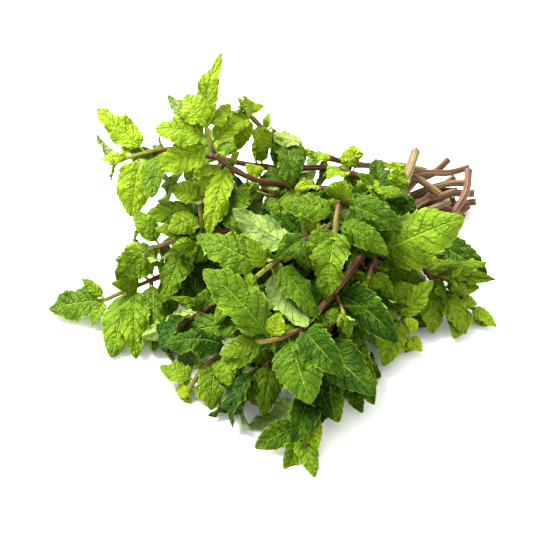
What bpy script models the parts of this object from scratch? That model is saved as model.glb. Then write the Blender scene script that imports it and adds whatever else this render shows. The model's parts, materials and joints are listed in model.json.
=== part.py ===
"""A bunch of fresh mint lying on its side: sixteen cut sprigs, their bare stems crossing at the cut ends.

Each sprig is one solid: a square stem, side shoots in some leaf axils, and opposite pairs of toothed
leaves, each pair turned a quarter turn from the last, as on the plant. Every leaf is placed by rule
with seeded draws and is bent clear of the other sprigs, so that the sprigs only lie on each other.

Axes: +X to the right and +Y away as the bunch is seen from the front, +Z up. The cut ends lie at
+X +Y. Lengths are written in millimetres and become metres through MM.
"""

import math
import random

import bmesh
import bpy
import numpy as np
from mathutils import Matrix
from mathutils.bvhtree import BVHTree

MM = 0.001

# Stems: a square tube that narrows from the cut end to the tip. Crossing stems are pushed apart in
# rounds, at samples along each straight stretch, until they lie a gap apart.
STEM_STEP = 15.0
STEM_TIP_RADIUS = 0.9
STEM_TAPER = 1.6
STEM_GAP = 0.5
SETTLE_SAMPLES = 6
SETTLE_ROUNDS = 200

# Leaf pairs of a sprig, counted from its tip: the gap to the pair before, the length of the leaves,
# and how far they lean from the stem, in degrees.
PAIR_GAPS = (1.0, 6.0, 10.0, 13.0, 16.0, 18.0, 20.0, 20.0, 21.0, 21.0, 22.0)
PAIR_LENGTHS = (13.0, 21.0, 29.0, 35.0, 40.0, 42.0, 42.0, 41.0, 39.0, 37.0, 34.0)
PAIR_LEANS = (28.0, 42.0, 52.0, 60.0, 66.0, 68.0, 70.0, 72.0, 72.0, 72.0, 72.0)

# Side shoots grow at some of the pairs. Theirs are (share of the shoot's length, leaf length, lean).
SHOOT_AT_PAIRS = (3, 4, 5, 6)
SHOOT_CHANCE = 0.24
SHOOT_LENGTHS = (14.0, 19.0, 24.0)
SHOOT_RADIUS = 1.0
SHOOT_TIP_RADIUS = 0.7
SHOOT_PAIRS = ((0.55, 17.0, 48.0), (0.96, 12.0, 30.0))

# The shape of a leaf. A blade rests on the table at a share of its half thickness.
HALF_WIDTH = 0.28
PETIOLE_SHARE = 0.09
PETIOLE_HALF = 0.55
LEAF_THICK = 1.1
TABLE_REST = 0.6
DROOP = 0.28
UNDERSIDE_UP_CHANCE = 0.14

# Rows of a blade from its root in the stem to its tip: (share of the length, share of the full width).
# A share of the length below 0 lies on the leaf stalk. Leaves shorter than SMALL_LEAF have small rows,
# and of the others those that stand out of the bunch have large ones.
ROWS = {
    "large": ((-1, 0), (0.13, 1.0), (0.4, 1.08), (0.52, 0.9), (0.84, 1.05), (1, 0)),
    "middle": ((-1, 0), (0.15, 0.95), (0.5, 1.06), (0.84, 1.0), (1, 0)),
    "small": ((-1, 0), (0.16, 0.9), (0.72, 1.08), (1, 0)),
}
SMALL_LEAF = 28.0

# Placing a leaf: how often it is tried, how much room it needs round it, how far it may dip below the
# table before it is laid on it, how far it may rise above its node, and where the bare cut ends begin,
# as x + y. Trying further, it may shrink.
TRIES = 64
CLEAR_THICK = 0.7
CLEAR_WIDTH = 1.05
FLOOR_DIP = 7.0
MOST_RISE = 11.0
HANDLE_FROM = 152.0
MOST_SHRINK = 0.8

# Leaves that stand out are placed before the rest, face the front and above, and may miss their place
# by a little where it is taken.
SHOWN_FIRST = 1000.0
SHOWN_FACING = (0.0, -0.45, 0.9)
SHOWN_STRAY = 9.0
SHOWN_WIDTH = 0.92

# Faces that meet at less than this are merged after the union.
FLAT_ANGLE = math.radians(0.7)

# Sprigs: the stem's route from the cut end to the tip, its radius at the cut, the share of it that is
# bare and the seed of its leaves. "shown" are the leaves that stand out of the bunch, each as its
# node's distance from the tip of the stem, the place of the leaf's own tip, its half width and, for a
# blade that is bent sideways, how far. Those in "shown_underside" hang with their pale underside
# outwards. All the other leaves follow the rule.
#
# The places in this table weren't set by hand. Points were picked by eye as pixels of the reference
# photo, each with a guessed height, and a helper script that isn't part of this source turned them
# into millimetres and wrote the table.
SPRIGS = {
    "sprig_01_top": {
        "route": [(92, 83, 20), (73, 87, 25), (39, 67, 38), (8, 58, 48), (-8, 51, 56), (-25, 50, 68),
                  (-33, 49, 80), (-34, 53, 88)],
        "radius": 2.0, "bare": 0.3, "seed": 11,
        "shown": [(6, (-61, 59, 82), 9.5), (9, (-59, 44, 68), 9.5), (0, (-53, 74, 90), 9.5),
                  (0, (-23, 75, 88), 7), (3, (-26, 90, 106), 6.5, 0.32), (9, (-16, 71, 80), 6.5),
                  (21, (-38, 41, 50), 7), (42, (-26, 23, 48), 6), (24, (-33, 16, 44), 8),
                  (103, (61, 52, 44), 4), (81, (10, 46, 52), 5)],
        "shown_underside": [(0, (-55, 74, 96), 6)]},
    "sprig_02_upper_left": {
        "route": [(113, 112, 20), (95, 102, 21), (74, 92, 26), (53, 88, 31), (32, 89, 37), (-1, 80, 44),
                  (-26, 73, 54), (-58, 72, 62), (-73, 64, 62), (-82, 64, 60)],
        "radius": 1.8, "bare": 0.2, "seed": 12,
        "shown": [(15, (-96, 98, 70), 8.5), (6, (-91, 64, 60), 4), (12, (-75, 43, 38), 11.5),
                  (3, (-78, 76, 64), 3), (42, (-44, 66, 42), 7), (18, (-64, 65, 46), 6.5),
                  (78, (-12, 59, 48), 6), (81, (-9, 88, 62), 5), (105, (15, 92, 56), 3.4),
                  (171, (67, 64, 30), 4.5), (171, (61, 93, 36), 3.5), (129, (29, 67, 44), 7)],
        "shown_underside": []},
    "sprig_03_front_right": {
        "route": [(81, 106, 36), (73, 83, 31), (60, 56, 33), (51, 29, 34), (52, 13, 28), (57, 0, 20),
                  (65, -13, 12), (69, -19, 7)],
        "radius": 2.2, "bare": 0.33, "seed": 13,
        "shown": [(100, (68, 75, 48), 7.5), (48, (98, 24, 52), 17), (21, (54, -16, 12), 6.5),
                  (27, (73, 0, 26), 6.5), (12, (82, 3, 28), 6.5), (3, (75, -24, 4), 4),
                  (3, (64, -22, 3), 5), (6, (74, -13, 14), 5), (15, (55, -36, 5), 9)],
        "shown_underside": []},
    "sprig_04_nodding": {
        "route": [(102, 116, 24), (85, 92, 19), (61, 66, 32), (41, 36, 56), (32, 13, 68), (32, 0, 66),
                  (30, -3, 61)],
        "radius": 2.0, "bare": 0.32, "seed": 14,
        "shown": [(27, (36, 17, 82), 9.5), (0, (29, -14, 58), 4.2), (9, (56, -9, 54), 7),
                  (6, (26, -27, 40), 10.5), (6, (16, -14, 52), 8.5), (12, (5, 13, 68), 8),
                  (48, (55, 42, 62), 7)],
        "shown_underside": [(21, (38, 9, 60), 4.5)]},
    "sprig_05_centre": {
        "route": [(106, 108, 16), (93, 98, 15), (65, 70, 26), (32, 25, 48), (11, -8, 60), (-2, -24, 60),
                  (-8, -29, 58)],
        "radius": 1.9, "bare": 0.28, "seed": 15,
        "shown": [(12, (22, -41, 40), 8.5), (0, (-13, -32, 48), 5), (0, (-14, -29, 56), 3.5),
                  (6, (-37, -8, 66), 11), (6, (-13, -21, 76), 5.5), (36, (0, -28, 66), 6.5),
                  (51, (12, 13, 62), 5.5)],
        "shown_underside": [(9, (16, -51, 46), 10), (27, (-20, 7, 72), 9.5)]},
    "sprig_06_middle": {
        "route": [(106, 97, 12), (89, 89, 14), (60, 48, 24), (30, -17, 38), (12, -49, 42),
                  (-4, -57, 42), (-13, -55, 39)],
        "radius": 2.0, "bare": 0.34, "seed": 16,
        "shown": [(21, (17, -81, 24), 12.5), (6, (-24, -61, 36), 5.5), (9, (-28, -66, 30), 6),
                  (3, (-13, -47, 52), 5), (12, (-34, -27, 60), 11.5), (12, (3, -48, 52), 5.5)],
        "shown_underside": []},
    "sprig_07_bottom": {
        "route": [(114, 97, 7), (93, 90, 9), (65, 52, 14), (38, -3, 20), (24, -37, 22), (20, -55, 18),
                  (15, -69, 10), (12, -79, 5)],
        "radius": 2.1, "bare": 0.28, "seed": 17,
        "shown": [(3, (-9, -88, 2), 7.5), (9, (20, -91, 5), 7), (30, (31, -74, 4), 8.5),
                  (0, (4, -97, 1), 6.5), (0, (19, -105, 1), 6.5)],
        "shown_underside": [(15, (-13, -74, 3), 8.5)]},
    "sprig_08_far_left": {
        "route": [(107, 103, 10), (92, 103, 9), (32, 75, 14), (-18, 46, 18), (-54, 23, 17),
                  (-75, 13, 14), (-88, 10, 9)],
        "radius": 2.0, "bare": 0.28, "seed": 18,
        "shown": [(0, (-118, 9, 3), 11), (0, (-101, 21, 14), 3.5), (0, (-94, -3, 2), 5),
                  (15, (-82, -26, 1), 11.5), (21, (-78, 16, 24), 6), (39, (-55, 1, 4), 7.5),
                  (18, (-69, -28, 1), 8.5), (27, (-61, -23, 2), 8.5)],
        "shown_underside": []},
    "sprig_09_left": {
        "route": [(114, 103, 14), (102, 97, 14), (83, 88, 18), (37, 64, 28), (-12, 38, 36),
                  (-43, 26, 38), (-60, 25, 33), (-72, 27, 26)],
        "radius": 1.9, "bare": 0.28, "seed": 19,
        "shown": [(15, (-74, 42, 42), 6), (6, (-78, 30, 28), 4), (33, (-62, 25, 44), 5),
                  (15, (-82, 19, 14), 10), (45, (-39, 25, 22), 7.5), (30, (-57, 1, 14), 9)],
        "shown_underside": []},
    "sprig_10_low_left": {
        "route": [(108, 101, 5), (85, 92, 7), (42, 55, 12), (3, 1, 17), (-21, -34, 17), (-37, -48, 12),
                  (-42, -53, 5)],
        "radius": 1.9, "bare": 0.28, "seed": 20,
        "shown": [(6, (-56, -37, 6), 6.5), (6, (-48, -50, 2), 5), (3, (-47, -52, 1), 4.5),
                  (3, (-27, -56, 3), 4.5), (21, (-30, -64, 2), 8), (24, (-20, -58, 12), 6.5)],
        "shown_underside": []},
    "sprig_11_hanging": {
        "route": [(106, 92, 3), (86, 86, 13), (39, 67, 30), (-4, 55, 46), (-30, 44, 58), (-37, 35, 54),
                  (-37, 26, 44)],
        "radius": 1.7, "bare": 0.28, "seed": 21,
        "shown": [(9, (-69, 43, 36), 6.5), (6, (-54, 22, 44), 7.5), (15, (-52, 41, 58), 7.5),
                  (0, (-45, 19, 30), 7)],
        "shown_underside": []},
    "sprig_12_right": {
        "route": [(111, 108, 22), (106, 91, 14), (96, 73, 12), (84, 45, 18), (79, 24, 22), (85, 12, 18),
                  (95, 7, 12), (105, 5, 7)],
        "radius": 1.8, "bare": 0.28, "seed": 22,
        "shown": [(33, (112, 22, 24), 6.5), (30, (116, 15, 18), 5), (21, (108, 14, 14), 6),
                  (12, (106, 5, 10), 5), (3, (116, -4, 2), 4), (21, (99, -12, 4), 6.5),
                  (30, (82, -11, 4), 9), (54, (88, 17, 14), 9), (6, (93, -13, 2), 7)],
        "shown_underside": []},
    "sprig_13_low_right": {
        "route": [(96, 91, 10), (75, 74, 15), (52, 28, 21), (40, -14, 23), (35, -32, 16), (34, -42, 7)],
        "radius": 1.9, "bare": 0.33, "seed": 23,
        "shown": [(33, (49, -42, 24), 7), (36, (37, -45, 18), 8.5), (18, (49, -63, 4), 9),
                  (0, (43, -65, 2), 5.5), (0, (21, -75, 2), 8.5), (12, (33, -57, 6), 8)],
        "shown_underside": []},
    "sprig_14_front_left": {
        "route": [(114, 96, 3), (99, 93, 6), (26, 51, 12), (-17, 10, 16), (-43, -11, 14), (-57, -15, 8)],
        "radius": 1.9, "bare": 0.32, "seed": 24,
        "shown": [(27, (-52, -8, 26), 4), (51, (-29, -25, 22), 7), (42, (-40, -10, 26), 6)],
        "shown_underside": [(27, (-66, -23, 14), 8.5), (21, (-47, -41, 6), 7)]},
    "sprig_15_low_centre": {
        "route": [(110, 98, 3), (79, 75, 7), (32, 6, 12), (5, -33, 14), (-13, -54, 10), (-19, -60, 5)],
        "radius": 1.8, "bare": 0.28, "seed": 25,
        "shown": [(15, (-20, -60, 3), 6), (30, (-5, -71, 4), 8), (36, (-14, -40, 18), 7)],
        "shown_underside": []},
    "sprig_16_back": {
        "route": [(90, 119, 14), (74, 119, 18), (51, 105, 28), (29, 96, 40), (4, 81, 60), (-9, 80, 74),
                  (-15, 82, 80)],
        "radius": 1.8, "bare": 0.2, "seed": 36,
        "shown": [(6, (-16, 77, 92), 4), (0, (-5, 86, 80), 3.5), (3, (-18, 74, 60), 6),
                  (9, (-4, 73, 58), 6), (6, (-27, 71, 76), 7), (18, (13, 70, 38), 7),
                  (51, (32, 86, 46), 4), (72, (51, 92, 44), 7)],
        "shown_underside": [(18, (14, 77, 62), 5.5)]},
}


def unit(v):
    return v / max(np.linalg.norm(v), 1e-9)


def turned(v, axis, angle):
    """v turned about a unit axis by the right-hand rule."""
    c, s = math.cos(angle), math.sin(angle)
    return v * c + np.cross(axis, v) * s + axis * np.dot(axis, v) * (1 - c)


# ---------------------------------------------------------------- stems


def smooth_line(points, step):
    """A Catmull-Rom curve through the points, as points an even step apart."""
    p = np.array(points, float)
    p = np.vstack([2 * p[0] - p[1], p, 2 * p[-1] - p[-2]])
    t = np.linspace(0, 1, 24, endpoint=False)[:, None]
    spans = [
        0.5 * (2 * b + (c - a) * t + (2 * a - 5 * b + 4 * c - d) * t**2 + (3 * b - a - 3 * c + d) * t**3)
        for a, b, c, d in zip(p[:-3], p[1:-2], p[2:-1], p[3:])
    ]
    dense = np.vstack(spans + [p[-2:-1]])
    return evenly(dense, step)


def evenly(line, step):
    along = arc_lengths(line)
    count = max(2, int(round(along[-1] / step)) + 1)
    wanted = np.linspace(0, along[-1], count)
    return np.column_stack([np.interp(wanted, along, line[:, k]) for k in range(3)])


def arc_lengths(line):
    return np.concatenate([[0], np.cumsum(np.linalg.norm(np.diff(line, axis=0), axis=1))])


def stem_radii(line, radius):
    """The half width of the stem at each point: full over its lower half, then down to the tip's."""
    share = arc_lengths(line) / arc_lengths(line)[-1]
    return STEM_TIP_RADIUS + (radius - STEM_TIP_RADIUS) * (1 - share**STEM_TAPER)


def settle(lines, radii):
    """Pushes the crossing stems apart until they only lie on each other, and up off the table.

    The stems are straight between their points, so they are tested at samples along each stretch and
    the points take the push that their samples feel.
    """
    owner = np.concatenate([np.full(len(line), i) for i, line in enumerate(lines)])
    points = np.vstack(lines)
    reach = np.concatenate(radii) * math.sqrt(2)
    share = np.arange(SETTLE_SAMPLES) / SETTLE_SAMPLES
    rows = []
    for i in range(len(points) - 1):
        if owner[i] == owner[i + 1]:
            for t in share:
                row = np.zeros(len(points))
                row[i], row[i + 1] = 1 - t, t
                rows.append(row)
    weights = np.array(rows)
    sample_owner = np.round(weights @ owner).astype(int)
    sample_reach = weights @ reach
    need = sample_reach[:, None] + sample_reach[None, :] + STEM_GAP
    apart = sample_owner[:, None] != sample_owner[None, :]
    for _ in range(SETTLE_ROUNDS):
        samples = weights @ points
        gap = samples[:, None, :] - samples[None, :, :]
        distance = np.linalg.norm(gap, axis=2) + 1e-6
        short = np.where(apart & (distance < need), need - distance, 0)
        if not short.any():
            break
        push = (gap / distance[..., None] * short[..., None] * 0.5).sum(axis=1)
        move = weights.T @ push / weights.sum(axis=0)[:, None]
        for i in range(len(lines)):
            mine = move[owner == i]
            padded = np.vstack([mine[:1], mine, mine[-1:]])
            points[owner == i] += (padded[:-2] + 3 * mine + padded[2:]) / 5
        points[:, 2] = np.maximum(points[:, 2], reach)
    return [points[owner == i] for i in range(len(lines))]


def frames_along(line):
    """The tangent and two side directions at each point, carried along without twisting."""
    tangents = np.array([unit(v) for v in np.gradient(line, axis=0)])
    side = unit(np.cross(tangents[0], (0, 0, 1)))
    frames = []
    for t in tangents:
        side = unit(side - t * np.dot(side, t))
        frames.append((t, side, np.cross(side, t)))
    return frames


def at_length(line, frames, distance):
    """The point and frame of the stem at a distance from its cut end."""
    along = arc_lengths(line)
    i = int(np.clip(np.searchsorted(along, distance), 1, len(line) - 1))
    share = (distance - along[i - 1]) / (along[i] - along[i - 1])
    point = line[i - 1] * (1 - share) + line[i] * share
    return point, frames[i if share > 0.5 else i - 1]


def tube(name, line, radii):
    """A square stem: a poly curve with a four-sided bevel and filled caps, made a closed mesh."""
    curve = bpy.data.curves.new(name, "CURVE")
    curve.dimensions = "3D"
    curve.bevel_depth = MM
    curve.bevel_resolution = 0
    curve.use_fill_caps = True
    spline = curve.splines.new("POLY")
    spline.points.add(len(line) - 1)
    for point, co, radius in zip(spline.points, line, radii):
        point.co = (*(co * MM), 1)
        point.radius = radius * math.sqrt(2)
    guide = bpy.data.objects.new(name, curve)
    bpy.context.scene.collection.objects.link(guide)
    graph = bpy.context.evaluated_depsgraph_get()
    mesh = bpy.data.meshes.new_from_object(guide.evaluated_get(graph))
    bpy.data.objects.remove(guide)
    bm = bmesh.new()
    bm.from_mesh(mesh)
    bmesh.ops.remove_doubles(bm, verts=bm.verts, dist=0.01 * MM)
    bmesh.ops.triangulate(bm, faces=bm.faces)
    bmesh.ops.recalc_face_normals(bm, faces=bm.faces)
    bm.to_mesh(mesh)
    bm.free()
    return mesh


# ---------------------------------------------------------------- leaves


def blade_template(name, rows):
    """A flat blade one unit long: x is the place across it, y the row, and z which face, +1 or -1.

    It is a grid of three columns, doubled for the underside and sewn to it along the toothed margin,
    so the blade is thick at the midrib and thin at the edge. Its first row is an upright edge, the end
    of the leaf stalk, which sinks into the stem. Its last is a point.
    """
    last = len(rows) - 1
    bm = bmesh.new()
    bmesh.ops.create_grid(bm, x_segments=2, y_segments=last, size=1)
    for v in bm.verts:
        row = round((v.co.y + 1) / 2 * last)
        thick = row == 0 or (row < last and abs(v.co.x) < 0.5)
        v.co = (round(v.co.x) if 0 < row < last else 0, row, 1 if thick else 0)
    bmesh.ops.remove_doubles(bm, verts=bm.verts, dist=0.01)
    bmesh.ops.triangulate(bm, faces=bm.faces, quad_method="FIXED")
    under = bmesh.ops.duplicate(bm, geom=bm.verts[:] + bm.edges[:] + bm.faces[:])["geom"]
    for v in under:
        if isinstance(v, bmesh.types.BMVert):
            v.co.z = -v.co.z
    bmesh.ops.remove_doubles(bm, verts=bm.verts, dist=0.01)
    root = [v for v in bm.verts if v.co.y < 0.5]
    for margin in [v for v in bm.verts if 0.5 < v.co.y < 1.5 and abs(v.co.x) > 0.5]:
        bm.faces.new((*root, margin))
    bmesh.ops.recalc_face_normals(bm, faces=bm.faces)
    mesh = bpy.data.meshes.new(name)
    bm.to_mesh(mesh)
    bm.free()
    return mesh


def template_arrays(mesh, rows):
    """Each vertex's place across, share of the length, share of the width and face, and the triangles."""
    co = np.empty(len(mesh.vertices) * 3, np.float32)
    mesh.vertices.foreach_get("co", co)
    co = co.reshape(-1, 3)
    row = np.round(co[:, 1]).astype(int)
    table = np.array(rows, float)[row]
    triangles = [tuple(p.vertices) for p in mesh.polygons]
    return {
        "mesh": mesh,
        "across": co[:, 0].astype(float),
        "along": table[:, 0],
        "wide": table[:, 1],
        "face": co[:, 2].astype(float),
        "triangles": triangles,
        "blade": [t for t in triangles if min(row[i] for i in t) > 0],
    }


def width_at(along):
    """The half width of the blade, as a share of its widest: round base, narrower to the blunt tip."""
    return np.sin(math.pi * np.clip(along, 0, 1) ** 0.67) ** 0.66


def blade_points(leaf, across, along, wide, face, thick, grow=1.0):
    """Where the points of a blade lie, in millimetres.

    The midrib is an arc that bends back towards the underside. The halves fold up from it, curl
    towards their margins, ripple along them and twist about the midrib. On the table it lies flat.
    """
    stalk = along < 0
    t = np.clip(along, 0, 1)
    bend, length = leaf["bend"], leaf["length"]
    forward = np.where(stalk, 0, length * np.sin(bend * t) / bend)
    drop = np.where(stalk, 0, length * (1 - np.cos(bend * t)) / bend)
    d, n = leaf["direction"], leaf["normal"]
    w = np.cross(d, n)
    sink = leaf["stalk"] * np.maximum(0, -along)
    sway = leaf["sway"] * length * t**2
    middle = leaf["base"] + np.outer(forward - sink, d) - np.outer(drop, n) + np.outer(sway, w)
    normal = np.outer(np.cos(bend * t), n) + np.outer(np.sin(bend * t), d)
    turn = (leaf["twist"] * t)[:, None]
    sideways = w * np.cos(turn) + normal * np.sin(turn)
    normal = normal * np.cos(turn) - w * np.sin(turn)
    half = np.maximum(leaf["half"] * width_at(along) * wide * grow, PETIOLE_HALF)
    half = np.where(along >= 1, 0, half)
    reach = np.abs(across) * half
    wave = np.sin(leaf["waves"] * 2 * math.pi * t + leaf["phase"] + across)
    ripple = leaf["ripple"] * across**2 * wave * np.sin(math.pi * t)
    lift = reach * math.sin(leaf["fold"]) - leaf["curl"] * reach * np.abs(across) + ripple
    points = middle + sideways * (across * half * math.cos(leaf["fold"]))[:, None] + normal * lift[:, None]
    half_thick = thick / 2 * np.abs(face)
    points[:, 2] = np.maximum(points[:, 2], half_thick * TABLE_REST)
    points = points + normal * (face * thick / 2)[:, None]
    points[:, 2] = np.maximum(points[:, 2], 0)
    return points


def new_leaf(rng, node, frame, length, lean, phase, spread):
    """One candidate leaf at a stem node. spread, from 0 to 1, is how far it may stray from the rule."""
    point, radius = node
    tangent, side, up = frame

    def stray(most):
        return rng.uniform(-1, 1) * most * (0.25 + spread)

    phi = phase + stray(math.radians(75))
    alpha = math.radians(lean) + stray(math.radians(34))
    out = side * math.cos(phi) + up * math.sin(phi)
    direction = unit(tangent * math.cos(alpha) + out * math.sin(alpha) - np.array((0, 0, DROOP)))
    length *= rng.uniform(0.88, 1.1) * (1 - MOST_SHRINK * max(0, spread - 0.35))
    inner = unit(tangent - direction * np.dot(tangent, direction))
    sky = np.array((0, 0, 1.0))
    sky = unit(sky - direction * np.dot(sky, direction) + inner * 0.05)
    face_up = rng.uniform(0.2, 0.95)
    if rng.random() < UNDERSIDE_UP_CHANCE:
        face_up = -face_up
    normal = unit(inner * (1 - abs(face_up)) + sky * face_up)
    normal = turned(normal, direction, stray(math.radians(40)))
    size = min(1, length / 40)
    return {
        "top": point[2] + MOST_RISE,
        "base": point + direction * (radius + length * PETIOLE_SHARE),
        "stalk": radius * 0.75 + length * PETIOLE_SHARE,
        "direction": direction,
        "normal": normal,
        "length": length,
        "half": length * HALF_WIDTH * rng.uniform(0.88, 1.1),
        "bend": math.radians(rng.uniform(12, 95)),
        "fold": math.radians(rng.uniform(-8, 34)),
        "curl": rng.uniform(-0.1, 0.5),
        "twist": math.radians(rng.uniform(-45, 45)),
        "sway": rng.uniform(-0.16, 0.16),
        "ripple": rng.uniform(1.0, 3.0) * size,
        "waves": rng.uniform(1.4, 2.4),
        "phase": rng.uniform(0, 2 * math.pi),
    }


def shown_leaf(rng, node, tip, half, sway, facing, spread):
    """One candidate for a leaf that stands out: it starts at the node and its tip reaches a given place."""
    point, radius = node
    aim = np.array(tip, float) + np.array([rng.uniform(-1, 1) for _ in range(3)]) * SHOWN_STRAY * spread
    # A blade that is bent sideways starts off to the other side, so that its tip still reaches the aim.
    aim = aim - np.cross(aim - point, facing) * sway
    span = np.linalg.norm(aim - point)
    chord = (aim - point) / span
    normal = unit(facing - chord * np.dot(facing, chord))
    normal = turned(normal, chord, rng.uniform(-1, 1) * math.radians(8 + 40 * spread))
    bend = math.radians(rng.uniform(14, 65))
    direction = chord * math.cos(bend / 2) + normal * math.sin(bend / 2)
    stalk = radius + span * PETIOLE_SHARE
    length = (span - stalk) * (bend / 2) / math.sin(bend / 2)
    size = min(1, length / 40)
    return {
        "base": point + direction * stalk,
        "stalk": stalk - radius * 0.25,
        "direction": direction,
        "normal": normal * math.cos(bend / 2) - chord * math.sin(bend / 2),
        "length": length,
        "half": half * SHOWN_WIDTH * (1 - 0.3 * max(0, spread - 0.4)),
        "bend": bend,
        "fold": math.radians(rng.uniform(-4, 22)),
        "curl": rng.uniform(0, 0.4),
        "twist": math.radians(rng.uniform(-34, 34)),
        "sway": sway,
        "ripple": rng.uniform(1.0, 2.8) * size,
        "waves": rng.uniform(1.4, 2.4),
        "phase": rng.uniform(0, 2 * math.pi),
    }


class Pile:
    """What lies in the bunch so far, to keep each new piece clear of the other sprigs."""

    def __init__(self):
        self.pieces = []
        self.centres = np.zeros((0, 3))
        self.radii = np.zeros(0)

    def add(self, points, triangles, owner, blade=()):
        """blade holds the triangles of a leaf without its stalk, which may meet its own sprig's leaves."""
        low, high = points.min(axis=0), points.max(axis=0)
        self.pieces.append((owner, surface(points, triangles), surface(points, blade) if blade else None))
        self.centres = np.vstack([self.centres, (low + high) / 2])
        self.radii = np.append(self.radii, np.linalg.norm(high - low) / 2)

    def hits(self, points, triangles, owner, blade=()):
        """Whether another sprig is crossed, and how many of the blade's triangles cross its own leaves."""
        low, high = points.min(axis=0), points.max(axis=0)
        radius = np.linalg.norm(high - low) / 2
        near = np.linalg.norm(self.centres - (low + high) / 2, axis=1) < self.radii + radius
        whole = surface(points, triangles)
        own_blade = surface(points, blade) if blade else None
        own = 0
        for i in np.flatnonzero(near):
            other, other_whole, other_blade = self.pieces[i]
            if other != owner and whole.overlap(other_whole):
                return True, 0
            if other == owner and own_blade and other_blade:
                own += len(own_blade.overlap(other_blade))
        return False, own


def surface(points, triangles):
    return BVHTree.FromPolygons(points.tolist(), triangles, all_triangles=True)


def add_stem_to_pile(pile, mesh, owner):
    co = np.array([v.co[:] for v in mesh.vertices]) / MM
    pile.add(co, [tuple(p.vertices) for p in mesh.polygons], owner)


def place_leaf(pile, templates, sprig, seed, length, candidate, shown):
    """Tries leaves until one lies clear of the other sprigs. It may be None in a tight place.

    A leaf that isn't among those that stand out also keeps off the bare cut ends, and doesn't rise far.
    """
    rng = random.Random(seed)
    template = templates["small" if length < SMALL_LEAF else "large" if shown else "middle"]
    best, fewest = None, 1e9
    for attempt in range(TRIES):
        leaf = candidate(rng, attempt / TRIES)
        shape = (template["across"], template["along"], template["wide"], template["face"])
        if lowest(leaf, shape) < -FLOOR_DIP * (0.4 + attempt / TRIES):
            continue
        points = blade_points(leaf, *shape, LEAF_THICK + CLEAR_THICK, CLEAR_WIDTH)
        if not shown and (points[:, :2].sum(axis=1).max() > HANDLE_FROM or points[:, 2].max() > leaf["top"]):
            continue
        crossed, own = pile.hits(points, template["triangles"], sprig, template["blade"])
        if crossed:
            continue
        if own < fewest:
            best, fewest = leaf, own
        if not own:
            break
    if best is not None:
        best["template"] = template
        best["shown"] = shown
        points = blade_points(best, *shape, LEAF_THICK)
        pile.add(points, template["triangles"], sprig, template["blade"])
    return best


def lowest(leaf, shape):
    """The lowest point that the blade's midrib would reach if the table weren't there."""
    bend, length = leaf["bend"], leaf["length"]
    t = np.linspace(0.25, 1, 4)
    z = (
        leaf["base"][2]
        + length * np.sin(bend * t) / bend * leaf["direction"][2]
        - length * (1 - np.cos(bend * t)) / bend * leaf["normal"][2]
    )
    return z.min()


def leaf_nodes(line, bare, rng):
    """(distance, length, lean, phase, pair) for the leaf pairs of a sprig, from the tip downwards."""
    total = arc_lengths(line)[-1]
    distance, first = total, rng.uniform(0, math.pi)
    nodes = []
    for pair, (gap, length, lean) in enumerate(zip(PAIR_GAPS, PAIR_LENGTHS, PAIR_LEANS)):
        distance -= gap * rng.uniform(0.9, 1.1)
        if distance < bare * total:
            break
        nodes.append((distance, length, lean, first + pair * math.pi / 2, pair))
    return nodes


def free_shoot(pile, owner, seed, node, frame, phase, length):
    """The line of a side shoot from a leaf axil, or None where the other sprigs leave no room."""
    rng = random.Random(seed)
    point, _ = node
    tangent, side, up = frame
    for attempt in range(TRIES // 2):
        phi = phase + rng.uniform(-1, 1) * (0.3 + attempt * 0.06)
        alpha = math.radians(rng.uniform(30, 55))
        out = side * math.cos(phi) + up * math.sin(phi)
        start = unit(tangent * math.cos(alpha) + out * math.sin(alpha))
        end = unit(start + tangent * 0.4 + np.array((0, 0, rng.uniform(-0.2, 0.5))))
        line = np.array([point, point + start * length * 0.5, point + (start + end) * length * 0.5])
        if line[1:, 2].min() < SHOOT_RADIUS * 1.5:
            continue
        clear = SHOOT_RADIUS + CLEAR_THICK
        mesh = tube("trial", line, np.array([clear, clear, SHOOT_RADIUS]))
        co = np.array([v.co[:] for v in mesh.vertices]) / MM
        crossed, _ = pile.hits(co, [tuple(p.vertices) for p in mesh.polygons], owner)
        bpy.data.meshes.remove(mesh)
        if not crossed:
            return line
    return None


def shown_leaves(sprig, index):
    """The leaves that stand out, as waiting leaves: (size, sprig, seed, distance, candidate)."""
    plan = SPRIGS[sprig["name"]]
    line, total = sprig["line"], arc_lengths(sprig["line"])[-1]
    facing = np.array(SHOWN_FACING)
    waiting = []
    leaves = [(leaf, facing) for leaf in plan["shown"]]
    leaves += [(leaf, -facing) for leaf in plan["shown_underside"]]
    for k, ((from_tip, tip, half, *bent), toward) in enumerate(leaves):
        sway = bent[0] if bent else 0.0
        distance = total - from_tip
        point, _ = at_length(line, sprig["frames"], distance)
        radius = float(np.interp(distance, arc_lengths(line), sprig["widths"]))
        span = float(np.linalg.norm(np.array(tip) - point))

        def candidate(rng, spread, node=(point, radius), tip=tip, half=half, sway=sway, toward=toward):
            return shown_leaf(rng, node, tip, half, sway, toward, spread)

        waiting.append((span + SHOWN_FIRST, index, plan["seed"] * 1000 + 500 + k, distance, candidate))
    return waiting


def ruled_leaf(index, seed, distance, node, frame, length, lean, phase):
    def candidate(rng, spread):
        return new_leaf(rng, node, frame, length, lean, phase, spread)

    return (length, index, seed, distance, candidate)


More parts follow.
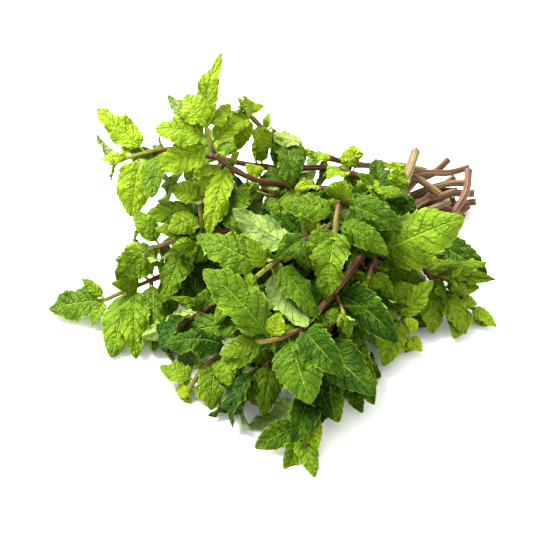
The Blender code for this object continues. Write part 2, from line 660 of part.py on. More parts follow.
def grow_sprig(pile, sprig, index):
    """The waiting leaves of one sprig, and its side shoots, which are grown at once."""
    plan = SPRIGS[sprig["name"]]
    rng = random.Random(plan["seed"])
    line, frames = sprig["line"], sprig["frames"]
    ruled, on_shoots = [], []
    for distance, length, lean, phase, pair in leaf_nodes(line, plan["bare"], rng):
        point, frame = at_length(line, frames, distance)
        node = (point, float(np.interp(distance, arc_lengths(line), sprig["widths"])))
        seed = plan["seed"] * 1000 + pair * 10
        for half in (0, 1):
            turn = phase + half * math.pi
            ruled.append(ruled_leaf(index, seed + half, distance, node, frame, length, lean, turn))
        if pair in SHOOT_AT_PAIRS and rng.random() < SHOOT_CHANCE:
            start = phase + rng.randrange(2) * math.pi + 0.5
            shoot_length = SHOOT_LENGTHS[pair % len(SHOOT_LENGTHS)] * rng.uniform(0.8, 1.2)
            on_shoots += grow_shoot(pile, sprig, index, seed + 5, node, frame, start, shoot_length)
    shown = shown_leaves(sprig, index)
    for leaf in shown:
        if ruled:
            nearest = min(ruled, key=lambda other: abs(other[3] - leaf[3]))
            ruled.remove(nearest)
    return shown + ruled + on_shoots


def grow_shoot(pile, sprig, index, seed, node, frame, phase, length):
    """A side shoot with two pairs of small leaves, where the other sprigs leave room for it."""
    line = free_shoot(pile, index, seed, node, frame, phase, length)
    if line is None:
        return []
    mesh = tube("shoot", line, np.array([SHOOT_RADIUS, SHOOT_RADIUS, SHOOT_TIP_RADIUS]))
    add_stem_to_pile(pile, mesh, index)
    sprig["meshes"].append(mesh)
    sprig["shoots"].append(line)
    frames, total = frames_along(line), arc_lengths(line)[-1]
    waiting = []
    for level, (share, leaf_length, lean) in enumerate(SHOOT_PAIRS):
        point, at_frame = at_length(line, frames, share * total)
        for half in (0, 1):
            turn = level * math.pi / 2 + half * math.pi
            waiting.append(ruled_leaf(index, seed * 10 + level * 2 + half, -1.0, (point, SHOOT_TIP_RADIUS),
                                      at_frame, leaf_length, lean, turn))
    return waiting


def grow_bunch():
    """Stems, then side shoots, then leaves: those that stand out, and the rest from the largest down."""
    names = list(SPRIGS)
    lines = [smooth_line(SPRIGS[n]["route"], STEM_STEP) for n in names]
    lines = settle(lines, [stem_radii(line, SPRIGS[n]["radius"]) for n, line in zip(names, lines)])
    templates = {}
    for size, rows in ROWS.items():
        templates[size] = template_arrays(blade_template(size + "_blade", rows), rows)
    pile = Pile()
    sprigs = []
    for i, (name, line) in enumerate(zip(names, lines)):
        widths = stem_radii(line, SPRIGS[name]["radius"])
        mesh = tube(name + "_stem", line, widths)
        add_stem_to_pile(pile, mesh, i)
        sprigs.append({"name": name, "line": line, "frames": frames_along(line), "widths": widths,
                       "meshes": [mesh], "leaves": [], "shoots": []})
    waiting = []
    for i, sprig in enumerate(sprigs):
        waiting += grow_sprig(pile, sprig, i)
    waiting.sort(key=lambda item: -item[0])
    for size, i, seed, _, candidate in waiting:
        shown = size > SHOWN_FIRST
        length = size - SHOWN_FIRST if shown else size
        leaf = place_leaf(pile, templates, i, seed, length, candidate, shown)
        if leaf is not None:
            sprigs[i]["leaves"].append(leaf)
    return sprigs


def leaf_mesh(leaf):
    template = leaf["template"]
    mesh = template["mesh"].copy()
    shape = (template["across"], template["along"], template["wide"], template["face"])
    co = blade_points(leaf, *shape, LEAF_THICK) * MM
    mesh.vertices.foreach_set("co", co.astype(np.float32).ravel())
    mesh.update()
    return mesh


def merge_flat(mesh):
    """Merges the slivers that a union leaves in faces that are flat, and cuts the result into triangles."""
    bm = bmesh.new()
    bm.from_mesh(mesh)
    bmesh.ops.dissolve_limit(bm, angle_limit=FLAT_ANGLE, verts=bm.verts, edges=bm.edges)
    bmesh.ops.triangulate(bm, faces=bm.faces)
    bm.to_mesh(mesh)
    bm.free()


def joined(name, meshes, material, collection):
    """One solid from a stem, its shoots and its leaves."""
    extras = bpy.data.collections.new(name + "_pieces")
    bpy.context.scene.collection.children.link(extras)
    body = bpy.data.objects.new(name, meshes[0])
    collection.objects.link(body)
    for k, mesh in enumerate(meshes[1:]):
        extras.objects.link(bpy.data.objects.new(f"{name}_piece_{k}", mesh))
    union = body.modifiers.new("join", "BOOLEAN")
    union.operation = "UNION"
    union.operand_type = "COLLECTION"
    union.collection = extras
    union.solver = "MANIFOLD"
    graph = bpy.context.evaluated_depsgraph_get()
    mesh = bpy.data.meshes.new_from_object(body.evaluated_get(graph))
    body.modifiers.clear()
    body.data = mesh
    for piece in list(extras.objects):
        bpy.data.objects.remove(piece)
    bpy.data.collections.remove(extras)
    merge_flat(mesh)
    mesh.name = name
    mesh.materials.clear()
    mesh.materials.append(material)
    return body


def mint_green(name):
    material = bpy.data.materials.new(name + "_green")
    material.use_nodes = True
    shader = material.node_tree.nodes["Principled BSDF"]
    shader.inputs["Base Color"].default_value = (0.13, 0.33, 0.025, 1)
    shader.inputs["Roughness"].default_value = 0.5
    shader.inputs["Metallic"].default_value = 0
    return material


def centre(objects):
    """Moves the bunch so that the origin is under the middle of its bounding box."""
    corners = np.array([v.co[:] for obj in objects for v in obj.data.vertices])
    middle = (corners.min(axis=0) + corners.max(axis=0)) / 2
    for obj in objects:
        obj.data.transform(Matrix.Translation((-middle[0], -middle[1], 0)))


def main():
    for obj in list(bpy.data.objects):
        bpy.data.objects.remove(obj)
    collection = bpy.data.collections.new("mint_bunch")
    bpy.context.scene.collection.children.link(collection)
    bodies = []
    for sprig in grow_bunch():
        meshes = sprig["meshes"] + [leaf_mesh(leaf) for leaf in sprig["leaves"]]
        bodies.append(joined(sprig["name"], meshes, mint_green(sprig["name"]), collection))
    centre(bodies)


main()
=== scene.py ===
"""Looks of a bunch of fresh mint lying on its side, on the frame of its sixteen packed sprigs.

The bunch is grown again by the rules of its CAD source, so that every leaf and stem is where the CAD
has it. Each sprig's node is then replaced by two finer pieces: its leaves, with teeth, quilted
surfaces, veins and stalks, and its square stem with nodes, a cut end and side shoots.

Axes: +X to the right and +Y away as the bunch is seen from the front, +Z up. Lengths are written in
millimetres and become metres through MM.
"""

import json
import math
import random

import bmesh
import bpy
import numpy as np
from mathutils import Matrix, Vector
from mathutils.bvhtree import BVHTree

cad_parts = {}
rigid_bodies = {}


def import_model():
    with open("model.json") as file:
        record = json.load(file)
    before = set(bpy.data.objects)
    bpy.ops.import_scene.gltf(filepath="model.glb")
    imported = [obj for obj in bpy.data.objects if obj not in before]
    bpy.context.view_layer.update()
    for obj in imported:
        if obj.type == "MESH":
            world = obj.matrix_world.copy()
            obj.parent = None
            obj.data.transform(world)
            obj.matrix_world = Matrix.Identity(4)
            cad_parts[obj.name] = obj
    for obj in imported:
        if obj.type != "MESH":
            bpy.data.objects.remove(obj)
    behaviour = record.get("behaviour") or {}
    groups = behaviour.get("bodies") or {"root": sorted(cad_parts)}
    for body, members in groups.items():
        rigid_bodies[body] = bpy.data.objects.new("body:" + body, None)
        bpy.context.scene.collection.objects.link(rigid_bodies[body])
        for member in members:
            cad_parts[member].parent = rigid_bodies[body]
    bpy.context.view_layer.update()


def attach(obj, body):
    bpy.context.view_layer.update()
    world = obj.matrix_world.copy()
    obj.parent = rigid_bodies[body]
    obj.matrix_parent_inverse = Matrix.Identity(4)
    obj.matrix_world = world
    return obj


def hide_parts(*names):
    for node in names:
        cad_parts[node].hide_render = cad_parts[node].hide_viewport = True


MM = 0.001

# ---------------------------------------------------------------- growth, as in the CAD source

# Stems: a square tube that narrows from the cut end to the tip. Crossing stems are pushed apart in
# rounds, at samples along each straight stretch, until they lie a gap apart.
STEM_STEP = 15.0
STEM_TIP_RADIUS = 0.9
STEM_TAPER = 1.6
STEM_GAP = 0.5
SETTLE_SAMPLES = 6
SETTLE_ROUNDS = 200

# Leaf pairs of a sprig, counted from its tip: the gap to the pair before, the length of the leaves,
# and how far they lean from the stem, in degrees.
PAIR_GAPS = (1.0, 6.0, 10.0, 13.0, 16.0, 18.0, 20.0, 20.0, 21.0, 21.0, 22.0)
PAIR_LENGTHS = (13.0, 21.0, 29.0, 35.0, 40.0, 42.0, 42.0, 41.0, 39.0, 37.0, 34.0)
PAIR_LEANS = (28.0, 42.0, 52.0, 60.0, 66.0, 68.0, 70.0, 72.0, 72.0, 72.0, 72.0)

# Side shoots grow at some of the pairs. Theirs are (share of the shoot's length, leaf length, lean).
SHOOT_AT_PAIRS = (3, 4, 5, 6)
SHOOT_CHANCE = 0.24
SHOOT_LENGTHS = (14.0, 19.0, 24.0)
SHOOT_RADIUS = 1.0
SHOOT_TIP_RADIUS = 0.7
SHOOT_PAIRS = ((0.55, 17.0, 48.0), (0.96, 12.0, 30.0))

# The shape of a leaf. A blade rests on the table at a share of its half thickness.
HALF_WIDTH = 0.28
PETIOLE_SHARE = 0.09
PETIOLE_HALF = 0.55
LEAF_THICK = 1.1
TABLE_REST = 0.6
DROOP = 0.28
UNDERSIDE_UP_CHANCE = 0.14

# Rows of a blade from its root in the stem to its tip: (share of the length, share of the full width).
# A share of the length below 0 lies on the leaf stalk. Leaves shorter than SMALL_LEAF have small rows,
# and of the others those that stand out of the bunch have large ones.
ROWS = {
    "large": ((-1, 0), (0.13, 1.0), (0.4, 1.08), (0.52, 0.9), (0.84, 1.05), (1, 0)),
    "middle": ((-1, 0), (0.15, 0.95), (0.5, 1.06), (0.84, 1.0), (1, 0)),
    "small": ((-1, 0), (0.16, 0.9), (0.72, 1.08), (1, 0)),
}
SMALL_LEAF = 28.0

# Placing a leaf: how often it is tried, how much room it needs round it, how far it may dip below the
# table before it is laid on it, how far it may rise above its node, and where the bare cut ends begin,
# as x + y. Trying further, it may shrink.
TRIES = 64
CLEAR_THICK = 0.7
CLEAR_WIDTH = 1.05
FLOOR_DIP = 7.0
MOST_RISE = 11.0
HANDLE_FROM = 152.0
MOST_SHRINK = 0.8

# Leaves that stand out are placed before the rest, face the front and above, and may miss their place
# by a little where it is taken.
SHOWN_FIRST = 1000.0
SHOWN_FACING = (0.0, -0.45, 0.9)
SHOWN_STRAY = 9.0
SHOWN_WIDTH = 0.92

# Sprigs: the stem's route from the cut end to the tip, its radius at the cut, the share of it that is
# bare and the seed of its leaves. "shown" are the leaves that stand out of the bunch, each as its
# node's distance from the tip of the stem, the place of the leaf's own tip, its half width and, for a
# blade that is bent sideways, how far. Those in "shown_underside" hang with their pale underside
# outwards. All the other leaves follow the rule.
#
# The places in this table weren't set by hand. Points were picked by eye as pixels of the reference
# photo, each with a guessed height, and a helper script that isn't part of this source turned them
# into millimetres and wrote the table.
SPRIGS = {
    "sprig_01_top": {
        "radius": 2.0, "bare": 0.3, "seed": 11,
        "route": [(92, 83, 20), (73, 87, 25), (39, 67, 38), (8, 58, 48), (-8, 51, 56), (-25, 50, 68),
            (-33, 49, 80), (-34, 53, 88)],
        "shown": [(6, (-61, 59, 82), 9.5), (9, (-59, 44, 68), 9.5), (0, (-53, 74, 90), 9.5),
            (0, (-23, 75, 88), 7), (3, (-26, 90, 106), 6.5, 0.32), (9, (-16, 71, 80), 6.5),
            (21, (-38, 41, 50), 7), (42, (-26, 23, 48), 6), (24, (-33, 16, 44), 8), (103, (61, 52, 44), 4),
            (81, (10, 46, 52), 5)],
        "shown_underside": [(0, (-55, 74, 96), 6)],
    },
    "sprig_02_upper_left": {
        "radius": 1.8, "bare": 0.2, "seed": 12,
        "route": [(113, 112, 20), (95, 102, 21), (74, 92, 26), (53, 88, 31), (32, 89, 37), (-1, 80, 44),
            (-26, 73, 54), (-58, 72, 62), (-73, 64, 62), (-82, 64, 60)],
        "shown": [(15, (-96, 98, 70), 8.5), (6, (-91, 64, 60), 4), (12, (-75, 43, 38), 11.5),
            (3, (-78, 76, 64), 3), (42, (-44, 66, 42), 7), (18, (-64, 65, 46), 6.5), (78, (-12, 59, 48), 6),
            (81, (-9, 88, 62), 5), (105, (15, 92, 56), 3.4), (171, (67, 64, 30), 4.5),
            (171, (61, 93, 36), 3.5), (129, (29, 67, 44), 7)],
    },
    "sprig_03_front_right": {
        "radius": 2.2, "bare": 0.33, "seed": 13,
        "route": [(81, 106, 36), (73, 83, 31), (60, 56, 33), (51, 29, 34), (52, 13, 28), (57, 0, 20),
            (65, -13, 12), (69, -19, 7)],
        "shown": [(100, (68, 75, 48), 7.5), (48, (98, 24, 52), 17), (21, (54, -16, 12), 6.5),
            (27, (73, 0, 26), 6.5), (12, (82, 3, 28), 6.5), (3, (75, -24, 4), 4), (3, (64, -22, 3), 5),
            (6, (74, -13, 14), 5), (15, (55, -36, 5), 9)],
    },
    "sprig_04_nodding": {
        "radius": 2.0, "bare": 0.32, "seed": 14,
        "route": [(102, 116, 24), (85, 92, 19), (61, 66, 32), (41, 36, 56), (32, 13, 68), (32, 0, 66),
            (30, -3, 61)],
        "shown": [(27, (36, 17, 82), 9.5), (0, (29, -14, 58), 4.2), (9, (56, -9, 54), 7),
            (6, (26, -27, 40), 10.5), (6, (16, -14, 52), 8.5), (12, (5, 13, 68), 8), (48, (55, 42, 62), 7)],
        "shown_underside": [(21, (38, 9, 60), 4.5)],
    },
    "sprig_05_centre": {
        "radius": 1.9, "bare": 0.28, "seed": 15,
        "route": [(106, 108, 16), (93, 98, 15), (65, 70, 26), (32, 25, 48), (11, -8, 60), (-2, -24, 60),
            (-8, -29, 58)],
        "shown": [(12, (22, -41, 40), 8.5), (0, (-13, -32, 48), 5), (0, (-14, -29, 56), 3.5),
            (6, (-37, -8, 66), 11), (6, (-13, -21, 76), 5.5), (36, (0, -28, 66), 6.5),
            (51, (12, 13, 62), 5.5)],
        "shown_underside": [(9, (16, -51, 46), 10), (27, (-20, 7, 72), 9.5)],
    },
    "sprig_06_middle": {
        "radius": 2.0, "bare": 0.34, "seed": 16,
        "route": [(106, 97, 12), (89, 89, 14), (60, 48, 24), (30, -17, 38), (12, -49, 42), (-4, -57, 42),
            (-13, -55, 39)],
        "shown": [(21, (17, -81, 24), 12.5), (6, (-24, -61, 36), 5.5), (9, (-28, -66, 30), 6),
            (3, (-13, -47, 52), 5), (12, (-34, -27, 60), 11.5), (12, (3, -48, 52), 5.5)],
    },
    "sprig_07_bottom": {
        "radius": 2.1, "bare": 0.28, "seed": 17,
        "route": [(114, 97, 7), (93, 90, 9), (65, 52, 14), (38, -3, 20), (24, -37, 22), (20, -55, 18),
            (15, -69, 10), (12, -79, 5)],
        "shown": [(3, (-9, -88, 2), 7.5), (9, (20, -91, 5), 7), (30, (31, -74, 4), 8.5),
            (0, (4, -97, 1), 6.5), (0, (19, -105, 1), 6.5)],
        "shown_underside": [(15, (-13, -74, 3), 8.5)],
    },
    "sprig_08_far_left": {
        "radius": 2.0, "bare": 0.28, "seed": 18,
        "route": [(107, 103, 10), (92, 103, 9), (32, 75, 14), (-18, 46, 18), (-54, 23, 17), (-75, 13, 14),
            (-88, 10, 9)],
        "shown": [(0, (-118, 9, 3), 11), (0, (-101, 21, 14), 3.5), (0, (-94, -3, 2), 5),
            (15, (-82, -26, 1), 11.5), (21, (-78, 16, 24), 6), (39, (-55, 1, 4), 7.5),
            (18, (-69, -28, 1), 8.5), (27, (-61, -23, 2), 8.5)],
    },
    "sprig_09_left": {
        "radius": 1.9, "bare": 0.28, "seed": 19,
        "route": [(114, 103, 14), (102, 97, 14), (83, 88, 18), (37, 64, 28), (-12, 38, 36), (-43, 26, 38),
            (-60, 25, 33), (-72, 27, 26)],
        "shown": [(15, (-74, 42, 42), 6), (6, (-78, 30, 28), 4), (33, (-62, 25, 44), 5),
            (15, (-82, 19, 14), 10), (45, (-39, 25, 22), 7.5), (30, (-57, 1, 14), 9)],
    },
    "sprig_10_low_left": {
        "radius": 1.9, "bare": 0.28, "seed": 20,
        "route": [(108, 101, 5), (85, 92, 7), (42, 55, 12), (3, 1, 17), (-21, -34, 17), (-37, -48, 12),
            (-42, -53, 5)],
        "shown": [(6, (-56, -37, 6), 6.5), (6, (-48, -50, 2), 5), (3, (-47, -52, 1), 4.5),
            (3, (-27, -56, 3), 4.5), (21, (-30, -64, 2), 8), (24, (-20, -58, 12), 6.5)],
    },
    "sprig_11_hanging": {
        "radius": 1.7, "bare": 0.28, "seed": 21,
        "route": [(106, 92, 3), (86, 86, 13), (39, 67, 30), (-4, 55, 46), (-30, 44, 58), (-37, 35, 54),
            (-37, 26, 44)],
        "shown": [(9, (-69, 43, 36), 6.5), (6, (-54, 22, 44), 7.5), (15, (-52, 41, 58), 7.5),
            (0, (-45, 19, 30), 7)],
    },
    "sprig_12_right": {
        "radius": 1.8, "bare": 0.28, "seed": 22,
        "route": [(111, 108, 22), (106, 91, 14), (96, 73, 12), (84, 45, 18), (79, 24, 22), (85, 12, 18),
            (95, 7, 12), (105, 5, 7)],
        "shown": [(33, (112, 22, 24), 6.5), (30, (116, 15, 18), 5), (21, (108, 14, 14), 6),
            (12, (106, 5, 10), 5), (3, (116, -4, 2), 4), (21, (99, -12, 4), 6.5), (30, (82, -11, 4), 9),
            (54, (88, 17, 14), 9), (6, (93, -13, 2), 7)],
    },
    "sprig_13_low_right": {
        "radius": 1.9, "bare": 0.33, "seed": 23,
        "route": [(96, 91, 10), (75, 74, 15), (52, 28, 21), (40, -14, 23), (35, -32, 16), (34, -42, 7)],
        "shown": [(33, (49, -42, 24), 7), (36, (37, -45, 18), 8.5), (18, (49, -63, 4), 9),
            (0, (43, -65, 2), 5.5), (0, (21, -75, 2), 8.5), (12, (33, -57, 6), 8)],
    },
    "sprig_14_front_left": {
        "radius": 1.9, "bare": 0.32, "seed": 24,
        "route": [(114, 96, 3), (99, 93, 6), (26, 51, 12), (-17, 10, 16), (-43, -11, 14), (-57, -15, 8)],
        "shown": [(27, (-52, -8, 26), 4), (51, (-29, -25, 22), 7), (42, (-40, -10, 26), 6)],
        "shown_underside": [(27, (-66, -23, 14), 8.5), (21, (-47, -41, 6), 7)],
    },
    "sprig_15_low_centre": {
        "radius": 1.8, "bare": 0.28, "seed": 25,
        "route": [(110, 98, 3), (79, 75, 7), (32, 6, 12), (5, -33, 14), (-13, -54, 10), (-19, -60, 5)],
        "shown": [(15, (-20, -60, 3), 6), (30, (-5, -71, 4), 8), (36, (-14, -40, 18), 7)],
    },
    "sprig_16_back": {
        "radius": 1.8, "bare": 0.2, "seed": 36,
        "route": [(90, 119, 14), (74, 119, 18), (51, 105, 28), (29, 96, 40), (4, 81, 60), (-9, 80, 74),
            (-15, 82, 80)],
        "shown": [(6, (-16, 77, 92), 4), (0, (-5, 86, 80), 3.5), (3, (-18, 74, 60), 6),
            (9, (-4, 73, 58), 6), (6, (-27, 71, 76), 7), (18, (13, 70, 38), 7), (51, (32, 86, 46), 4),
            (72, (51, 92, 44), 7)],
        "shown_underside": [(18, (14, 77, 62), 5.5)],
    },
}


def linked(name, data):
    """A new object of the data, linked to the scene."""
    made = bpy.data.objects.new(name, data)
    bpy.context.scene.collection.objects.link(made)
    return made


def mesh_points(mesh):
    return np.array([v.co[:] for v in mesh.vertices]) / MM


def mesh_faces(mesh):
    return [tuple(p.vertices) for p in mesh.polygons]


def unit(v):
    return v / max(np.linalg.norm(v), 1e-9)


def turned(v, axis, angle):
    """v turned about a unit axis by the right-hand rule."""
    c, s = math.cos(angle), math.sin(angle)
    return v * c + np.cross(axis, v) * s + axis * np.dot(axis, v) * (1 - c)


# ---------------------------------------------------------------- stems


def smooth_line(points, step):
    """A Catmull-Rom curve through the points, as points an even step apart."""
    p = np.array(points, float)
    p = np.vstack([2 * p[0] - p[1], p, 2 * p[-1] - p[-2]])
    t = np.linspace(0, 1, 24, endpoint=False)[:, None]
    spans = [
        0.5 * (2 * b + (c - a) * t + (2 * a - 5 * b + 4 * c - d) * t**2 + (3 * b - a - 3 * c + d) * t**3)
        for a, b, c, d in zip(p[:-3], p[1:-2], p[2:-1], p[3:])
    ]
    dense = np.vstack(spans + [p[-2:-1]])
    return evenly(dense, step)


def evenly(line, step):
    along = arc_lengths(line)
    count = max(2, int(round(along[-1] / step)) + 1)
    wanted = np.linspace(0, along[-1], count)
    return np.column_stack([np.interp(wanted, along, line[:, k]) for k in range(3)])


def arc_lengths(line):
    return np.concatenate([[0], np.cumsum(np.linalg.norm(np.diff(line, axis=0), axis=1))])


def stem_radii(line, radius):
    """The half width of the stem at each point: full over its lower half, then down to the tip's."""
    share = arc_lengths(line) / arc_lengths(line)[-1]
    return STEM_TIP_RADIUS + (radius - STEM_TIP_RADIUS) * (1 - share**STEM_TAPER)


def settle(lines, radii):
    """Pushes the crossing stems apart until they only lie on each other, and up off the table.

    The stems are straight between their points, so they are tested at samples along each stretch and
    the points take the push that their samples feel.
    """
    owner = np.concatenate([np.full(len(line), i) for i, line in enumerate(lines)])
    points = np.vstack(lines)
    reach = np.concatenate(radii) * math.sqrt(2)
    share = np.arange(SETTLE_SAMPLES) / SETTLE_SAMPLES
    rows = []
    for i in range(len(points) - 1):
        if owner[i] == owner[i + 1]:
            for t in share:
                row = np.zeros(len(points))
                row[i], row[i + 1] = 1 - t, t
                rows.append(row)
    weights = np.array(rows)
    sample_owner = np.round(weights @ owner).astype(int)
    sample_reach = weights @ reach
    need = sample_reach[:, None] + sample_reach[None, :] + STEM_GAP
    apart = sample_owner[:, None] != sample_owner[None, :]
    for _ in range(SETTLE_ROUNDS):
        samples = weights @ points
        gap = samples[:, None, :] - samples[None, :, :]
        distance = np.linalg.norm(gap, axis=2) + 1e-6
        short = np.where(apart & (distance < need), need - distance, 0)
        if not short.any():
            break
        push = (gap / distance[..., None] * short[..., None] * 0.5).sum(axis=1)
        move = weights.T @ push / weights.sum(axis=0)[:, None]
        for i in range(len(lines)):
            mine = move[owner == i]
            padded = np.vstack([mine[:1], mine, mine[-1:]])
            points[owner == i] += (padded[:-2] + 3 * mine + padded[2:]) / 5
        points[:, 2] = np.maximum(points[:, 2], reach)
    return [points[owner == i] for i in range(len(lines))]


def frames_along(line):
    """The tangent and two side directions at each point, carried along without twisting."""
    tangents = np.array([unit(v) for v in np.gradient(line, axis=0)])
    side = unit(np.cross(tangents[0], (0, 0, 1)))
    frames = []
    for t in tangents:
        side = unit(side - t * np.dot(side, t))
        frames.append((t, side, np.cross(side, t)))
    return frames


def at_length(line, frames, distance):
    """The point and frame of the stem at a distance from its cut end."""
    along = arc_lengths(line)
    i = int(np.clip(np.searchsorted(along, distance), 1, len(line) - 1))
    share = (distance - along[i - 1]) / (along[i] - along[i - 1])
    point = line[i - 1] * (1 - share) + line[i] * share
    return point, frames[i if share > 0.5 else i - 1]


def radius_at(sprig, distance):
    return float(np.interp(distance, arc_lengths(sprig["line"]), sprig["widths"]))


def tube(name, line, radii):
    """A square stem: a poly curve with a four-sided bevel and filled caps, made a closed mesh."""
    curve = bpy.data.curves.new(name, "CURVE")
    curve.dimensions = "3D"
    curve.bevel_depth = MM
    curve.bevel_resolution = 0
    curve.use_fill_caps = True
    spline = curve.splines.new("POLY")
    spline.points.add(len(line) - 1)
    for point, co, radius in zip(spline.points, line, radii):
        point.co = (*(co * MM), 1)
        point.radius = radius * math.sqrt(2)
    guide = linked(name, curve)
    graph = bpy.context.evaluated_depsgraph_get()
    mesh = bpy.data.meshes.new_from_object(guide.evaluated_get(graph))
    bpy.data.objects.remove(guide)
    bm = bmesh.new()
    bm.from_mesh(mesh)
    bmesh.ops.remove_doubles(bm, verts=bm.verts, dist=0.01 * MM)
    bmesh.ops.triangulate(bm, faces=bm.faces)
    bmesh.ops.recalc_face_normals(bm, faces=bm.faces)
    bm.to_mesh(mesh)
    bm.free()
    return mesh


# ---------------------------------------------------------------- leaves


def blade_template(name, rows):
    """A flat blade one unit long: x is the place across it, y the row, and z which face, +1 or -1.

    It is a grid of three columns, doubled for the underside and sewn to it along the toothed margin,
    so the blade is thick at the midrib and thin at the edge. Its first row is an upright edge, the end
    of the leaf stalk, which sinks into the stem. Its last is a point.
    """
    last = len(rows) - 1
    bm = bmesh.new()
    bmesh.ops.create_grid(bm, x_segments=2, y_segments=last, size=1)
    for v in bm.verts:
        row = round((v.co.y + 1) / 2 * last)
        thick = row == 0 or (row < last and abs(v.co.x) < 0.5)
        v.co = (round(v.co.x) if 0 < row < last else 0, row, 1 if thick else 0)
    bmesh.ops.remove_doubles(bm, verts=bm.verts, dist=0.01)
    bmesh.ops.triangulate(bm, faces=bm.faces, quad_method="FIXED")
    under = bmesh.ops.duplicate(bm, geom=bm.verts[:] + bm.edges[:] + bm.faces[:])["geom"]
    for v in under:
        if isinstance(v, bmesh.types.BMVert):
            v.co.z = -v.co.z
    bmesh.ops.remove_doubles(bm, verts=bm.verts, dist=0.01)
    root = [v for v in bm.verts if v.co.y < 0.5]
    for margin in [v for v in bm.verts if 0.5 < v.co.y < 1.5 and abs(v.co.x) > 0.5]:
        bm.faces.new((*root, margin))
    bmesh.ops.recalc_face_normals(bm, faces=bm.faces)
    mesh = bpy.data.meshes.new(name)
    bm.to_mesh(mesh)
    bm.free()
    return mesh


def template_arrays(mesh, rows):
    """The triangles, and as shape each vertex's place across, shares of length and width, and face."""
    co = np.empty(len(mesh.vertices) * 3, np.float32)
    mesh.vertices.foreach_get("co", co)
    co = co.reshape(-1, 3)
    row = np.round(co[:, 1]).astype(int)
    table = np.array(rows, float)[row]
    triangles = mesh_faces(mesh)
    return {
        "shape": (co[:, 0].astype(float), table[:, 0], table[:, 1], co[:, 2].astype(float)),
        "triangles": triangles,
        "blade": [t for t in triangles if min(row[i] for i in t) > 0],
    }


def width_at(along):
    """The half width of the blade, as a share of its widest: round base, narrower to the blunt tip."""
    return np.sin(math.pi * np.clip(along, 0, 1) ** 0.67) ** 0.66


def blade_points(leaf, across, along, wide, face, thick, grow=1.0, relief=0.0):
    """Where the points of a blade lie, in millimetres.

    The midrib is an arc that bends back towards the underside. The halves fold up from it, curl
    towards their margins, ripple along them and twist about the midrib. On the table it lies flat.
    """
    stalk = along < 0
    t = np.clip(along, 0, 1)
    bend, length = leaf["bend"], leaf["length"]
    forward = np.where(stalk, 0, length * np.sin(bend * t) / bend)
    drop = np.where(stalk, 0, length * (1 - np.cos(bend * t)) / bend)
    d, n = leaf["direction"], leaf["normal"]
    w = np.cross(d, n)
    sink = leaf["stalk"] * np.maximum(0, -along)
    sway = leaf["sway"] * length * t**2
    middle = leaf["base"] + np.outer(forward - sink, d) - np.outer(drop, n) + np.outer(sway, w)
    normal = np.outer(np.cos(bend * t), n) + np.outer(np.sin(bend * t), d)
    turn = (leaf["twist"] * t)[:, None]
    sideways = w * np.cos(turn) + normal * np.sin(turn)
    normal = normal * np.cos(turn) - w * np.sin(turn)
    half = np.maximum(leaf["half"] * width_at(along) * wide * grow, PETIOLE_HALF)
    half = np.where(along >= 1, 0, half)
    reach = np.abs(across) * half
    wave = np.sin(leaf["waves"] * 2 * math.pi * t + leaf["phase"] + across)
    ripple = leaf["ripple"] * across**2 * wave * np.sin(math.pi * t)
    lift = reach * math.sin(leaf["fold"]) - leaf["curl"] * reach * np.abs(across) + ripple + relief
    points = middle + sideways * (across * half * math.cos(leaf["fold"]))[:, None] + normal * lift[:, None]
    half_thick = thick / 2 * np.abs(face)
    points[:, 2] = np.maximum(points[:, 2], half_thick * TABLE_REST)
    points = points + normal * (face * thick / 2)[:, None]
    points[:, 2] = np.maximum(points[:, 2], 0)
    return points


def new_leaf(rng, node, frame, length, lean, phase, spread):
    """One candidate leaf at a stem node. spread, from 0 to 1, is how far it may stray from the rule."""
    point, radius = node
    tangent, side, up = frame

    def stray(most):
        return rng.uniform(-1, 1) * most * (0.25 + spread)

    phi = phase + stray(math.radians(75))
    alpha = math.radians(lean) + stray(math.radians(34))
    out = side * math.cos(phi) + up * math.sin(phi)
    direction = unit(tangent * math.cos(alpha) + out * math.sin(alpha) - np.array((0, 0, DROOP)))
    length *= rng.uniform(0.88, 1.1) * (1 - MOST_SHRINK * max(0, spread - 0.35))
    inner = unit(tangent - direction * np.dot(tangent, direction))
    sky = np.array((0, 0, 1.0))
    sky = unit(sky - direction * np.dot(sky, direction) + inner * 0.05)
    face_up = rng.uniform(0.2, 0.95)
    if rng.random() < UNDERSIDE_UP_CHANCE:
        face_up = -face_up
    normal = unit(inner * (1 - abs(face_up)) + sky * face_up)
    normal = turned(normal, direction, stray(math.radians(40)))
    size = min(1, length / 40)
    return {
        "top": point[2] + MOST_RISE,
        "base": point + direction * (radius + length * PETIOLE_SHARE),
        "stalk": radius * 0.75 + length * PETIOLE_SHARE,
        "direction": direction,
        "normal": normal,
        "length": length,
        "half": length * HALF_WIDTH * rng.uniform(0.88, 1.1),
        "bend": math.radians(rng.uniform(12, 95)),
        "fold": math.radians(rng.uniform(-8, 34)),
        "curl": rng.uniform(-0.1, 0.5),
        "twist": math.radians(rng.uniform(-45, 45)),
        "sway": rng.uniform(-0.16, 0.16),
        "ripple": rng.uniform(1.0, 3.0) * size,
        "waves": rng.uniform(1.4, 2.4),
        "phase": rng.uniform(0, 2 * math.pi),
    }


